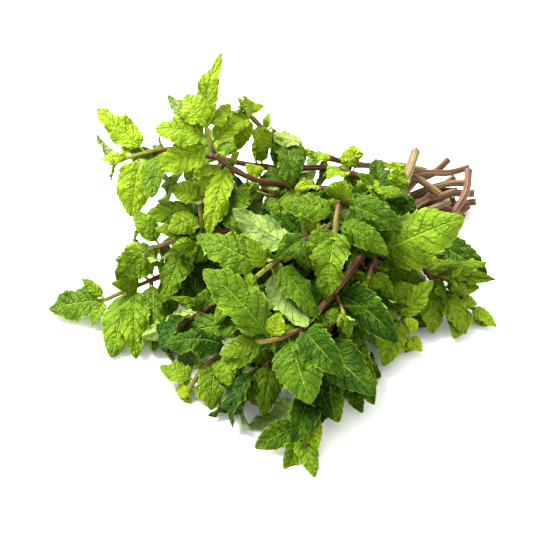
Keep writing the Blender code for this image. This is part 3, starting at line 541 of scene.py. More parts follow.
def shown_leaf(rng, node, tip, half, sway, facing, spread):
    """One candidate for a leaf that stands out: it starts at the node and its tip reaches a given place."""
    point, radius = node
    aim = np.array(tip, float) + np.array([rng.uniform(-1, 1) for _ in range(3)]) * SHOWN_STRAY * spread
    # A blade that is bent sideways starts off to the other side, so that its tip still reaches the aim.
    aim = aim - np.cross(aim - point, facing) * sway
    span = np.linalg.norm(aim - point)
    chord = (aim - point) / span
    normal = unit(facing - chord * np.dot(facing, chord))
    normal = turned(normal, chord, rng.uniform(-1, 1) * math.radians(8 + 40 * spread))
    bend = math.radians(rng.uniform(14, 65))
    direction = chord * math.cos(bend / 2) + normal * math.sin(bend / 2)
    stalk = radius + span * PETIOLE_SHARE
    length = (span - stalk) * (bend / 2) / math.sin(bend / 2)
    size = min(1, length / 40)
    return {
        "base": point + direction * stalk,
        "stalk": stalk - radius * 0.25,
        "direction": direction,
        "normal": normal * math.cos(bend / 2) - chord * math.sin(bend / 2),
        "length": length,
        "half": half * SHOWN_WIDTH * (1 - 0.3 * max(0, spread - 0.4)),
        "bend": bend,
        "fold": math.radians(rng.uniform(-4, 22)),
        "curl": rng.uniform(0, 0.4),
        "twist": math.radians(rng.uniform(-34, 34)),
        "sway": sway,
        "ripple": rng.uniform(1.0, 2.8) * size,
        "waves": rng.uniform(1.4, 2.4),
        "phase": rng.uniform(0, 2 * math.pi),
    }


class Pile:
    """What lies in the bunch so far, to keep each new piece clear of the other sprigs."""

    def __init__(self):
        self.pieces = []
        self.centres = np.zeros((0, 3))
        self.radii = np.zeros(0)

    def add(self, points, triangles, owner, blade=()):
        """blade holds the triangles of a leaf without its stalk, which may meet its own sprig's leaves."""
        low, high = points.min(axis=0), points.max(axis=0)
        self.pieces.append((owner, surface(points, triangles), surface(points, blade) if blade else None))
        self.centres = np.vstack([self.centres, (low + high) / 2])
        self.radii = np.append(self.radii, np.linalg.norm(high - low) / 2)

    def hits(self, points, triangles, owner, blade=()):
        """Whether another sprig is crossed, and how many of the blade's triangles cross its own leaves."""
        low, high = points.min(axis=0), points.max(axis=0)
        radius = np.linalg.norm(high - low) / 2
        near = np.linalg.norm(self.centres - (low + high) / 2, axis=1) < self.radii + radius
        whole = surface(points, triangles)
        own_blade = surface(points, blade) if blade else None
        own = 0
        for i in np.flatnonzero(near):
            other, other_whole, other_blade = self.pieces[i]
            if other != owner and whole.overlap(other_whole):
                return True, 0
            if other == owner and own_blade and other_blade:
                own += len(own_blade.overlap(other_blade))
        return False, own


def surface(points, triangles):
    return BVHTree.FromPolygons(points.tolist(), triangles, all_triangles=True)


def add_stem_to_pile(pile, mesh, owner):
    pile.add(mesh_points(mesh), mesh_faces(mesh), owner)


def place_leaf(pile, templates, sprig, seed, length, candidate, shown):
    """Tries leaves until one lies clear of the other sprigs. It may be None in a tight place.

    A leaf that isn't among those that stand out also keeps off the bare cut ends, and doesn't rise far.
    """
    rng = random.Random(seed)
    template = templates["small" if length < SMALL_LEAF else "large" if shown else "middle"]
    shape = template["shape"]
    best, fewest = None, 1e9
    for attempt in range(TRIES):
        leaf = candidate(rng, attempt / TRIES)
        if lowest(leaf) < -FLOOR_DIP * (0.4 + attempt / TRIES):
            continue
        points = blade_points(leaf, *shape, LEAF_THICK + CLEAR_THICK, CLEAR_WIDTH)
        if not shown and (points[:, :2].sum(axis=1).max() > HANDLE_FROM or points[:, 2].max() > leaf["top"]):
            continue
        crossed, own = pile.hits(points, template["triangles"], sprig, template["blade"])
        if crossed:
            continue
        if own < fewest:
            best, fewest = leaf, own
        if not own:
            break
    if best is not None:
        best["template"] = template
        best["shown"] = shown
        points = blade_points(best, *shape, LEAF_THICK)
        pile.add(points, template["triangles"], sprig, template["blade"])
    return best


def lowest(leaf):
    """The lowest point that the blade's midrib would reach if the table weren't there."""
    bend, length = leaf["bend"], leaf["length"]
    t = np.linspace(0.25, 1, 4)
    z = (
        leaf["base"][2]
        + length * np.sin(bend * t) / bend * leaf["direction"][2]
        - length * (1 - np.cos(bend * t)) / bend * leaf["normal"][2]
    )
    return z.min()


def leaf_nodes(line, bare, rng):
    """(distance, length, lean, phase, pair) for the leaf pairs of a sprig, from the tip downwards."""
    total = arc_lengths(line)[-1]
    distance, first = total, rng.uniform(0, math.pi)
    nodes = []
    for pair, (gap, length, lean) in enumerate(zip(PAIR_GAPS, PAIR_LENGTHS, PAIR_LEANS)):
        distance -= gap * rng.uniform(0.9, 1.1)
        if distance < bare * total:
            break
        nodes.append((distance, length, lean, first + pair * math.pi / 2, pair))
    return nodes


def free_shoot(pile, owner, seed, node, frame, phase, length):
    """The line of a side shoot from a leaf axil, or None where the other sprigs leave no room."""
    rng = random.Random(seed)
    point, _ = node
    tangent, side, up = frame
    for attempt in range(TRIES // 2):
        phi = phase + rng.uniform(-1, 1) * (0.3 + attempt * 0.06)
        alpha = math.radians(rng.uniform(30, 55))
        out = side * math.cos(phi) + up * math.sin(phi)
        start = unit(tangent * math.cos(alpha) + out * math.sin(alpha))
        end = unit(start + tangent * 0.4 + np.array((0, 0, rng.uniform(-0.2, 0.5))))
        line = np.array([point, point + start * length * 0.5, point + (start + end) * length * 0.5])
        if line[1:, 2].min() < SHOOT_RADIUS * 1.5:
            continue
        clear = SHOOT_RADIUS + CLEAR_THICK
        mesh = tube("trial", line, np.array([clear, clear, SHOOT_RADIUS]))
        crossed, _ = pile.hits(mesh_points(mesh), mesh_faces(mesh), owner)
        bpy.data.meshes.remove(mesh)
        if not crossed:
            return line
    return None


def shown_leaves(sprig, index):
    """The leaves that stand out, as waiting leaves: (size, sprig, seed, distance, candidate)."""
    plan = SPRIGS[sprig["name"]]
    line, total = sprig["line"], arc_lengths(sprig["line"])[-1]
    facing = np.array(SHOWN_FACING)
    waiting = []
    leaves = [(leaf, facing) for leaf in plan["shown"]]
    leaves += [(leaf, -facing) for leaf in plan.get("shown_underside", [])]
    for k, ((from_tip, tip, half, *bent), toward) in enumerate(leaves):
        sway = bent[0] if bent else 0.0
        distance = total - from_tip
        point, _ = at_length(line, sprig["frames"], distance)
        radius = radius_at(sprig, distance)
        span = float(np.linalg.norm(np.array(tip) - point))

        def candidate(rng, spread, node=(point, radius), tip=tip, half=half, sway=sway, toward=toward):
            return shown_leaf(rng, node, tip, half, sway, toward, spread)

        waiting.append((span + SHOWN_FIRST, index, plan["seed"] * 1000 + 500 + k, distance, candidate))
    return waiting


def ruled_leaf(index, seed, distance, node, frame, length, lean, phase):
    def candidate(rng, spread):
        return new_leaf(rng, node, frame, length, lean, phase, spread)

    return (length, index, seed, distance, candidate)


def grow_sprig(pile, sprig, index):
    """The waiting leaves of one sprig, and its side shoots, which are grown at once."""
    plan = SPRIGS[sprig["name"]]
    rng = random.Random(plan["seed"])
    line, frames = sprig["line"], sprig["frames"]
    ruled, on_shoots = [], []
    for distance, length, lean, phase, pair in leaf_nodes(line, plan["bare"], rng):
        point, frame = at_length(line, frames, distance)
        node = (point, radius_at(sprig, distance))
        seed = plan["seed"] * 1000 + pair * 10
        for half in (0, 1):
            turn = phase + half * math.pi
            ruled.append(ruled_leaf(index, seed + half, distance, node, frame, length, lean, turn))
        if pair in SHOOT_AT_PAIRS and rng.random() < SHOOT_CHANCE:
            start = phase + rng.randrange(2) * math.pi + 0.5
            shoot_length = SHOOT_LENGTHS[pair % len(SHOOT_LENGTHS)] * rng.uniform(0.8, 1.2)
            on_shoots += grow_shoot(pile, sprig, index, seed + 5, node, frame, start, shoot_length)
    shown = shown_leaves(sprig, index)
    for leaf in shown:
        if ruled:
            ruled.remove(min(ruled, key=lambda other: abs(other[3] - leaf[3])))
    return shown + ruled + on_shoots


def grow_shoot(pile, sprig, index, seed, node, frame, phase, length):
    """A side shoot with two pairs of small leaves, where the other sprigs leave room for it."""
    line = free_shoot(pile, index, seed, node, frame, phase, length)
    if line is None:
        return []
    mesh = tube("shoot", line, np.array([SHOOT_RADIUS, SHOOT_RADIUS, SHOOT_TIP_RADIUS]))
    add_stem_to_pile(pile, mesh, index)
    sprig["meshes"].append(mesh)
    sprig["shoots"].append(line)
    frames, total = frames_along(line), arc_lengths(line)[-1]
    waiting = []
    for level, (share, leaf_length, lean) in enumerate(SHOOT_PAIRS):
        point, at_frame = at_length(line, frames, share * total)
        for half in (0, 1):
            turn = level * math.pi / 2 + half * math.pi
            waiting.append(ruled_leaf(index, seed * 10 + level * 2 + half, -1.0, (point, SHOOT_TIP_RADIUS),
                                      at_frame, leaf_length, lean, turn))
    return waiting


def grow_bunch():
    """Stems, then side shoots, then leaves: those that stand out, and the rest from the largest down."""
    names = list(SPRIGS)
    lines = [smooth_line(SPRIGS[n]["route"], STEM_STEP) for n in names]
    lines = settle(lines, [stem_radii(line, SPRIGS[n]["radius"]) for n, line in zip(names, lines)])
    templates = {}
    for size, rows in ROWS.items():
        templates[size] = template_arrays(blade_template(size + "_blade", rows), rows)
    pile = Pile()
    sprigs = []
    for i, (name, line) in enumerate(zip(names, lines)):
        widths = stem_radii(line, SPRIGS[name]["radius"])
        mesh = tube(name + "_stem", line, widths)
        add_stem_to_pile(pile, mesh, i)
        sprigs.append({"name": name, "line": line, "frames": frames_along(line), "widths": widths,
                       "meshes": [mesh], "leaves": [], "shoots": []})
    waiting = []
    for i, sprig in enumerate(sprigs):
        waiting += grow_sprig(pile, sprig, i)
    waiting.sort(key=lambda item: -item[0])
    for size, i, seed, _, candidate in waiting:
        shown = size > SHOWN_FIRST
        length = size - SHOWN_FIRST if shown else size
        leaf = place_leaf(pile, templates, i, seed, length, candidate, shown)
        if leaf is not None:
            sprigs[i]["leaves"].append(leaf)
    return sprigs


# ---------------------------------------------------------------- fine leaves

# By the size of a leaf: the teeth of a margin and the columns across a blade. Leaves longer than these
# lengths are large and small; the rest are buds. A tooth's rows stand at shares of its length.
TEETH = {"large": 9, "small": 6, "bud": 4}
COLUMNS = {"large": 14, "small": 8, "bud": 4}
LARGE_FROM = 24
SMALL_FROM = 10.5
TOOTH_STEPS = (0.0, 0.38, 0.72, 0.95)
TOOTH_DEPTH = 0.13
FINE_THICK = 0.5
STALK_ROWS = 3

# The lateral veins: how many leave the midrib on each side, and how far they sweep towards the tip.
LATERALS = 6.5
LATERAL_SWEEP = 0.24
SWEEP_POWER = 1.15

# How far the surface stands off the plain blade: the pillows between the veins, the groove along the
# midrib, the uneven puckers and the frilled margin. It is less on leaves shorter than FULL_RELIEF.
QUILT = 0.6
GROOVE = 0.6
PUCKER = 0.5
FRILL = 1.5
FRILL_WAVES = (2.3, 5.3)
FULL_RELIEF = 36

# Leaflets too fine for the CAD, as (length, lean, phase) at the tips, and with a chance in the axils.
TIP_LEAFLETS = ((7.0, 22, 0.4), (7.5, 24, 0.4 + math.pi), (4.5, 12, 2.0), (4.5, 12, 2.0 + math.pi))
AXIL_CHANCE = 0.5
AXIL_LENGTHS = (6.0, 10.0)
AXIL_LEANS = (34, 46)

# The draws of the fine pieces have seeds of their own: the sprig's seed and this.
LEAF_DRAWS = 7000
STEM_DRAWS = 9000

# How much yellower and lighter young leaves are, how much painted shade makes the leaves inside the
# bunch darker and less yellow, how far the tint of single leaves strays, and the angles from which
# edges are shaded as sharp, in degrees.
YOUNG_LENGTH = 24
YOUNG_YELLOW = 0.7
YOUNG_LIGHT = 0.35
INSIDE_PAINTED_SHADE = 0.25
TINT_STRAY = 0.14
LEAF_SHARP = 100
STEM_SHARP = 60


def fine_template(kind):
    """A closed fine blade as arrays: where each vertex lies on the blade, and its faces for each side."""
    teeth, columns = TEETH[kind], COLUMNS[kind]
    rows = [-1 + k / STALK_ROWS for k in range(STALK_ROWS)]
    saw = [0.0] * STALK_ROWS
    for tooth in range(teeth):
        for step in TOOTH_STEPS:
            rows.append((tooth + step) / teeth)
            saw.append(step)
    # The margins' columns stand closer together, where the teeth are.
    line = np.sin(np.linspace(-1, 1, columns + 1) * math.pi / 2 * 0.86)
    line = line / math.sin(math.pi / 2 * 0.86)
    along, across = [a.ravel() for a in np.meshgrid(rows, line, indexing="ij")]
    saw = np.repeat(saw, columns + 1)
    count = len(along)
    inner = np.abs(across) < 0.999
    under = np.full(count, -1)
    under[inner] = count + np.arange(inner.sum())
    under[~inner] = np.flatnonzero(~inner)
    tip = count + int(inner.sum())
    depth = np.where(inner, 1 - np.abs(across) ** 3, 0)
    width = columns + 1
    top_faces, under_faces = [], []
    for r in range(len(rows)):
        for c in range(columns):
            a, b = r * width + c, r * width + c + 1
            if r + 1 < len(rows):
                d, e = a + width, b + width
                top_faces.append((a, b, e, d))
                under_faces.append((under[d], under[e], under[b], under[a]))
            else:
                top_faces.append((a, b, tip))
                under_faces.append((tip, under[b], under[a]))
    under_faces.append(tuple(range(width - 1, -1, -1)) + tuple(under[c] for c in range(1, width - 1)))
    return {
        "across": np.concatenate([across, across[inner], [0]]),
        "along": np.concatenate([along, along[inner], [1]]),
        "saw": np.concatenate([saw, saw[inner], [0]]),
        "face": np.concatenate([depth, -depth[inner], [0]]),
        "top": top_faces,
        "under": [tuple(int(i) for i in f) for f in under_faces],
    }


def relief_at(leaf, across, along):
    """How far the quilted surface stands off the plain blade, in millimetres."""
    t, a = np.clip(along, 0, 1), np.abs(across)
    size = min(1, leaf["length"] / FULL_RELIEF)
    q = (t - LATERAL_SWEEP * a**SWEEP_POWER) * LATERALS
    pillow = np.abs(np.sin(math.pi * q)) ** 0.75 * np.minimum(1, a / 0.16) * (1 - a**4)
    groove = np.exp(-((a / 0.09) ** 2))
    turn = leaf["phase"] + np.sign(across)
    pucker = np.sin(17 * t + 5 * across + turn) * np.sin(11 * across - 7 * t + 2 * turn)
    pucker = pucker * np.minimum(1, a / 0.2)
    slow, fast = [2 * math.pi * waves * t for waves in FRILL_WAVES]
    frill = a**2.5 * (np.sin(slow + 3 * turn) + 0.5 * np.sin(fast + 5 * turn))
    fade = np.sin(math.pi * np.clip(t, 0, 1) ** 0.8) ** 0.5
    return size * fade * (QUILT * pillow - GROOVE * groove + PUCKER * pucker + FRILL * frill)


def fine_leaf(leaf, template):
    across, along = template["across"], template["along"]
    wide = 1 + TOOTH_DEPTH * (template["saw"] - 0.45) * np.abs(across) ** 6
    relief = relief_at(leaf, across, along)
    return blade_points(leaf, across, along, wide, template["face"], FINE_THICK, relief=relief)


def small_leaves(sprig, rng):
    """Leaflets too fine for the CAD: the youngest at each tip, and those that sit in the leaf axils."""
    made = []
    plan = SPRIGS[sprig["name"]]
    line, frames = sprig["line"], sprig["frames"]
    total = arc_lengths(line)[-1]
    spots = [(total - 0.5, TIP_LEAFLETS, STEM_TIP_RADIUS, line, frames)]
    for shoot in sprig["shoots"]:
        end = arc_lengths(shoot)[-1] - 0.3
        spots.append((end, TIP_LEAFLETS[:2], SHOOT_TIP_RADIUS, shoot, frames_along(shoot)))
    nodes = random.Random(plan["seed"])
    for distance, _, _, phase, pair in leaf_nodes(line, plan["bare"], nodes):
        if pair > 1:
            radius = radius_at(sprig, distance)
            for half in (0, 1):
                if rng.random() < AXIL_CHANCE:
                    turns = (phase + half * math.pi + 0.35, phase + half * math.pi + 0.35 + 0.8)
                    lengths = [rng.uniform(*AXIL_LENGTHS) for _ in AXIL_LEANS]
                    leaflets = tuple(zip(lengths, AXIL_LEANS, turns))
                    spots.append((distance + 1.5, leaflets, radius, line, frames))
    for distance, leaflets, radius, path, path_frames in spots:
        point, frame = at_length(path, path_frames, distance)
        for length, lean, turn in leaflets:
            leaf = new_leaf(rng, (point, radius), frame, length, lean, turn, 0.1)
            if leaf["base"][2] > 2:
                made.append(leaf)
    return made


class Build:
    """Vertices, faces and vertex values of one piece, gathered from many leaves or tubes."""

    def __init__(self):
        self.points, self.faces, self.slots, self.uv, self.tint = [], [], [], [], []
        self.count = 0

    def add(self, points, groups, uv, tint):
        """groups holds (material slot, faces) pairs."""
        for slot, faces in groups:
            self.faces += [tuple(i + self.count for i in f) for f in faces]
            self.slots += [slot] * len(faces)
        self.points.append(points)
        self.uv.append(uv)
        self.tint.append(tint)
        self.count += len(points)

    def finish(self, name, materials, sharp):
        mesh = bpy.data.meshes.new(name)
        mesh.from_pydata((np.vstack(self.points) * MM).tolist(), [], self.faces)
        mesh.polygons.foreach_set("material_index", self.slots)
        corners = np.empty(len(mesh.loops), np.int32)
        mesh.loops.foreach_get("vertex_index", corners)
        layer = mesh.uv_layers.new(name="blade")
        layer.data.foreach_set("uv", np.vstack(self.uv)[corners].astype(np.float32).ravel())
        tint = np.vstack(self.tint)
        colour = mesh.color_attributes.new("tint", "FLOAT_COLOR", "POINT")
        tint = np.column_stack([tint, np.ones(len(tint))])
        colour.data.foreach_set("color", tint.astype(np.float32).ravel())
        for material in materials:
            mesh.materials.append(material)
        mesh.shade_smooth()
        mesh.set_sharp_from_angle(angle=math.radians(sharp))
        mesh.update()
        return linked(name, mesh)


# How yellow and how light each sprig's leaves are, from 0 to 1. The lightness is partly the sprig's
# own tone and partly painted light: the sprigs on top and at the upper left, where the light falls,
# are made lighter.
SPRIG_TONES_AND_PAINTED_LIGHT = {
    "sprig_01_top": (0.5, 0.66), "sprig_02_upper_left": (0.52, 0.66), "sprig_03_front_right": (0.4, 0.5),
    "sprig_04_nodding": (0.3, 0.42), "sprig_05_centre": (0.12, 0.32), "sprig_06_middle": (0.2, 0.38),
    "sprig_07_bottom": (0.22, 0.3), "sprig_08_far_left": (0.3, 0.36), "sprig_09_left": (0.35, 0.38),
    "sprig_10_low_left": (0.3, 0.35), "sprig_11_hanging": (0.35, 0.4), "sprig_12_right": (0.45, 0.4),
    "sprig_13_low_right": (0.22, 0.3), "sprig_14_front_left": (0.25, 0.36),
    "sprig_15_low_centre": (0.22, 0.3), "sprig_16_back": (0.4, 0.5),
}


def leaves_piece(sprig, shift, materials, templates):
    rng = random.Random(SPRIGS[sprig["name"]]["seed"] + LEAF_DRAWS)
    # The sprig's lightness holds painted light as well as its own tone.
    yellow, tone_and_painted_light = SPRIG_TONES_AND_PAINTED_LIGHT[sprig["name"]]
    build = Build()
    for leaf in sprig["leaves"] + small_leaves(sprig, rng):
        length = leaf["length"]
        kind = "large" if length > LARGE_FROM else "small" if length > SMALL_FROM else "bud"
        template = templates[kind]
        points = fine_leaf(leaf, template) - shift
        young = max(0, 1 - length / YOUNG_LENGTH)
        # Painted shade: a leaf that doesn't stand out lies inside the bunch, so its tint is made darker and
        # less yellow.
        painted_shade = 0 if leaf.get("shown") else INSIDE_PAINTED_SHADE
        means = (yellow + YOUNG_YELLOW * young - painted_shade, tone_and_painted_light + YOUNG_LIGHT * young - painted_shade)
        tint = [min(1, max(0, mean + rng.uniform(-TINT_STRAY, TINT_STRAY))) for mean in means]
        tint.append(rng.random())
        uv = np.column_stack([template["across"] * 0.5 + 0.5, np.clip(template["along"], 0, 1)])
        build.add(points, ((0, template["top"]), (1, template["under"])), uv, np.tile(tint, (len(points), 1)))
    return build.finish(sprig["name"] + "_leaves", materials, LEAF_SHARP)


# ---------------------------------------------------------------- fine stems

# The stem is a tube with rounded square rings, squarer at a higher SQUARENESS, and swells at its nodes.
STEM_SIDES = 16
FINE_STEM_STEP = 2.5
NODE_SWELL = 0.3
NODE_REACH = 2.2
SQUARENESS = 5.0


def square_ring(sides):
    """A square with rounded corners and slightly hollow sides, as a mint stem is cut across."""
    turn = np.arange(sides) * 2 * math.pi / sides
    eighth = turn + math.pi / 4
    total = np.abs(np.cos(eighth)) ** SQUARENESS + np.abs(np.sin(eighth)) ** SQUARENESS
    reach = 1 / total ** (1 / SQUARENESS)
    return np.column_stack([np.cos(turn) * reach, np.sin(turn) * reach])


def add_tube(build, line, widths, nodes, shift, tone):
    """Adds a fine stem. tone is how much older it grows from end to end, its first age and its draw."""
    ring = square_ring(STEM_SIDES)
    fine = smooth_line(line, FINE_STEM_STEP)
    along = arc_lengths(fine)
    reach = np.interp(along / along[-1], arc_lengths(line) / arc_lengths(line)[-1], widths)
    for at in nodes:
        reach = reach * (1 + NODE_SWELL * np.exp(-(((along - at) / NODE_REACH) ** 2)))
    rings = []
    for point, (t, side, up), r in zip(fine, frames_along(fine), reach):
        rings.append(point + (ring[:, :1] * side + ring[:, 1:] * up) * r)
    points = np.vstack(rings)
    points[:, 2] = np.maximum(points[:, 2], 0)
    sides, faces = STEM_SIDES, []
    for k in range(len(fine) - 1):
        for s in range(sides):
            a, b = k * sides + s, k * sides + (s + 1) % sides
            faces.append((b, a, a + sides, b + sides))
    last = (len(fine) - 1) * sides
    start_cap, end_cap = [tuple(range(sides))], [tuple(last + s for s in reversed(range(sides)))]
    share = np.repeat(along / along[-1], sides)
    uv = np.column_stack([np.tile(np.arange(sides) / sides, len(fine)), share])
    draw, length = np.full(len(share), tone[2]), np.repeat(along / 100, sides)
    tint = np.column_stack([share * tone[0] + tone[1], draw, length])
    build.add(points - shift, ((0, faces + end_cap), (1, start_cap)), uv, tint)


def stem_piece(sprig, shift, materials):
    plan = SPRIGS[sprig["name"]]
    rng = random.Random(plan["seed"] + STEM_DRAWS)
    build = Build()
    pairs = leaf_nodes(sprig["line"], plan["bare"], random.Random(plan["seed"]))
    nodes = [distance for distance, *_ in pairs]
    add_tube(build, sprig["line"], sprig["widths"], nodes, shift, (1.0, 0.0, rng.random()))
    for shoot in sprig["shoots"]:
        widths = np.linspace(SHOOT_RADIUS, SHOOT_TIP_RADIUS, len(shoot))
        add_tube(build, shoot, widths, [], shift, (0.3, 0.75, rng.random()))
    return build.finish(sprig["name"] + "_stem", materials, STEM_SHARP)


# ---------------------------------------------------------------- materials


class Nodes:
    """Short calls for building a material's node tree."""

    def __init__(self, name):
        self.material = bpy.data.materials.new(name)
        self.material.use_nodes = True
        self.tree = self.material.node_tree
        self.shader = self.tree.nodes["Principled BSDF"]

    def node(self, kind, **inputs):
        made = self.tree.nodes.new(kind)
        self.feed(made, **inputs)
        return made

    def feed(self, node, **inputs):
        """Sets or links inputs, each given by its name, with _ for a space, or as i and its number."""
        for key, value in inputs.items():
            numbered = key[0] == "i" and key[1:].isdigit()
            socket = node.inputs[int(key[1:]) if numbered else key.replace("_", " ")]
            if isinstance(value, bpy.types.NodeSocket):
                self.tree.links.new(value, socket)
            else:
                socket.default_value = value

    def surface(self, **inputs):
        self.feed(self.shader, **inputs)

    def math(self, operation, a, b=0.0, c=0.0):
        made = self.node("ShaderNodeMath", i0=a, i1=b, i2=c)
        made.operation = operation
        return made.outputs[0]

    def blend(self, factor, a, b):
        made = self.tree.nodes.new("ShaderNodeMix")
        made.data_type = "RGBA"
        self.feed(made, Factor=factor, i6=a, i7=b)
        return made.outputs[2]

    def ramp(self, value, low, high):
        """0 below low, 1 above high, smooth between."""
        made = self.node("ShaderNodeMapRange", Value=value, From_Min=low, From_Max=high)
        made.interpolation_type = "SMOOTHSTEP"
        return made.outputs[0]

    def noise(self, scale, detail, place):
        return self.node("ShaderNodeTexNoise", Scale=scale, Detail=detail, Vector=place).outputs["Fac"]

    def bump(self, height, strength, distance):
        return self.node("ShaderNodeBump", Height=height, Strength=strength, Distance=distance).outputs[0]

    def place(self):
        return self.tree.nodes.new("ShaderNodeTexCoord").outputs["Object"]

    def uv(self):
        """The place across and along a blade, or round and along a stem, each from 0 to 1."""
        made = self.tree.nodes.new("ShaderNodeUVMap")
        made.uv_map = "blade"
        return self.node("ShaderNodeSeparateXYZ", Vector=made.outputs[0]).outputs[:2]

    def tint(self):
        made = self.tree.nodes.new("ShaderNodeAttribute")
        made.attribute_name = "tint"
        return self.node("ShaderNodeSeparateColor", Color=made.outputs["Color"]).outputs[:3]


def vein_masks(n, place):
    """Masks of the midrib and of the lateral veins, which waver, and how far across the blade it is."""
    side, share = n.uv()
    across = n.math("ABSOLUTE", n.math("MULTIPLY_ADD", side, 2.0, -1.0))
    waver = n.math("MULTIPLY_ADD", n.noise(150.0, 2.0, place), 0.1, -0.05)
    along = n.math("ADD", share, waver)
    sweep = n.math("MULTIPLY", n.math("POWER", across, SWEEP_POWER), LATERAL_SWEEP)
    q = n.math("FRACT", n.math("MULTIPLY_ADD", n.math("SUBTRACT", along, sweep), LATERALS, 20.0))
    lateral = n.ramp(n.math("ABSOLUTE", n.math("SUBTRACT", q, 0.5)), 0.42, 0.5)
    midrib = n.math("SUBTRACT", 1.0, n.ramp(across, 0.012, 0.06))
    return midrib, lateral, across


def crinkles(n, place, scale):
    """The net of the finest veins and the pillows between them."""
    wobble = n.node("ShaderNodeTexNoise", Vector=place, Scale=300.0, Detail=1.0).outputs["Color"]
    bent = n.node("ShaderNodeVectorMath", i0=wobble, i1=(0.003, 0.003, 0.003), i2=place)
    bent.operation = "MULTIPLY_ADD"
    cells = n.node("ShaderNodeTexVoronoi", Vector=bent.outputs[0], Scale=scale)
    cells.feature = "DISTANCE_TO_EDGE"
    net = n.math("SUBTRACT", 1.0, n.ramp(cells.outputs["Distance"], 0.0, 0.11))
    return net, n.ramp(cells.outputs["Distance"], 0.0, 0.4)


def leaf_skin(n, colour, height, roughness, sheen):
    """What the two sides of a leaf have in common."""
    n.surface(Base_Color=colour, Normal=n.bump(height, 1.0, 0.0005), Roughness=roughness)
    n.surface(Specular_IOR_Level=sheen, Subsurface_Weight=0.12, Subsurface_Scale=0.0008)
    n.surface(Subsurface_Radius=(0.6, 1.0, 0.05))


def leaf_top():
    n = Nodes("mint_leaf_top")
    yellow, tone_and_painted_light, luck = n.tint()
    place = n.place()
    midrib, lateral, across = vein_masks(n, place)
    net, pillow = crinkles(n, place, 340.0)
    patches = n.noise(60.0, 3.0, place)
    # The base runs from dark to bright green with the tint's lightness, which holds painted light and painted
    # shade along with the leaves' own tone, and with random patches.
    dark = n.blend(yellow, (0.024, 0.064, 0.003, 1), (0.10, 0.165, 0.004, 1))
    bright = n.blend(yellow, (0.15, 0.262, 0.014, 1), (0.38, 0.48, 0.028, 1))
    base = n.blend(n.math("MULTIPLY_ADD", patches, 0.9, n.math("SUBTRACT", tone_and_painted_light, 0.45)), dark, bright)
    # Painted shade: the impressed lateral veins and the fine net of veins are darkened towards the dark
    # green, as shade in their grooves.
    painted_groove_shade = n.math("MAXIMUM", n.math("MULTIPLY", lateral, 0.18), n.math("MULTIPLY", net, 0.09))
    veined = n.blend(painted_groove_shade, base, dark)
    ribbed = n.blend(n.math("MULTIPLY", midrib, 0.55), veined, (0.34, 0.44, 0.06, 1))
    pale_edge = n.math("MULTIPLY", n.ramp(across, 0.9, 1.0), 0.28)
    edged = n.blend(pale_edge, ribbed, (0.40, 0.52, 0.05, 1))
    brown = n.ramp(n.math("ADD", across, n.math("MULTIPLY", patches, 0.12)), 1.02, 1.06)
    brown = n.math("MULTIPLY", brown, n.ramp(luck, 0.6, 1.0))
    colour = n.blend(n.math("MULTIPLY", brown, 0.6), edged, (0.14, 0.09, 0.02, 1))
    height = n.math("SUBTRACT", pillow, n.math("MAXIMUM", n.math("MULTIPLY", lateral, 1.1), midrib))
    leaf_skin(n, colour, height, n.math("MULTIPLY_ADD", patches, 0.2, 0.42), 0.16)
    return n.material


def leaf_under():
    n = Nodes("mint_leaf_underside")
    yellow = n.tint()[0]
    place = n.place()
    midrib, lateral, _ = vein_masks(n, place)
    net, pillow = crinkles(n, place, 380.0)
    patches = n.noise(60.0, 3.0, place)
    pale = n.blend(yellow, (0.27, 0.34, 0.12, 1), (0.36, 0.42, 0.14, 1))
    deep = n.blend(yellow, (0.17, 0.27, 0.055, 1), (0.28, 0.37, 0.07, 1))
    base = n.blend(n.math("MULTIPLY", patches, 0.9), pale, deep)
    ribs = n.math("MAXIMUM", lateral, midrib)
    paler = n.math("MULTIPLY", n.math("MAXIMUM", ribs, n.math("MULTIPLY", net, 0.5)), 0.35)
    veined = n.blend(paler, base, (0.38, 0.45, 0.20, 1))
    height = n.math("SUBTRACT", ribs, n.math("MULTIPLY", pillow, 0.6))
    leaf_skin(n, veined, height, n.math("MULTIPLY_ADD", patches, 0.1, 0.7), 0.06)
    return n.material


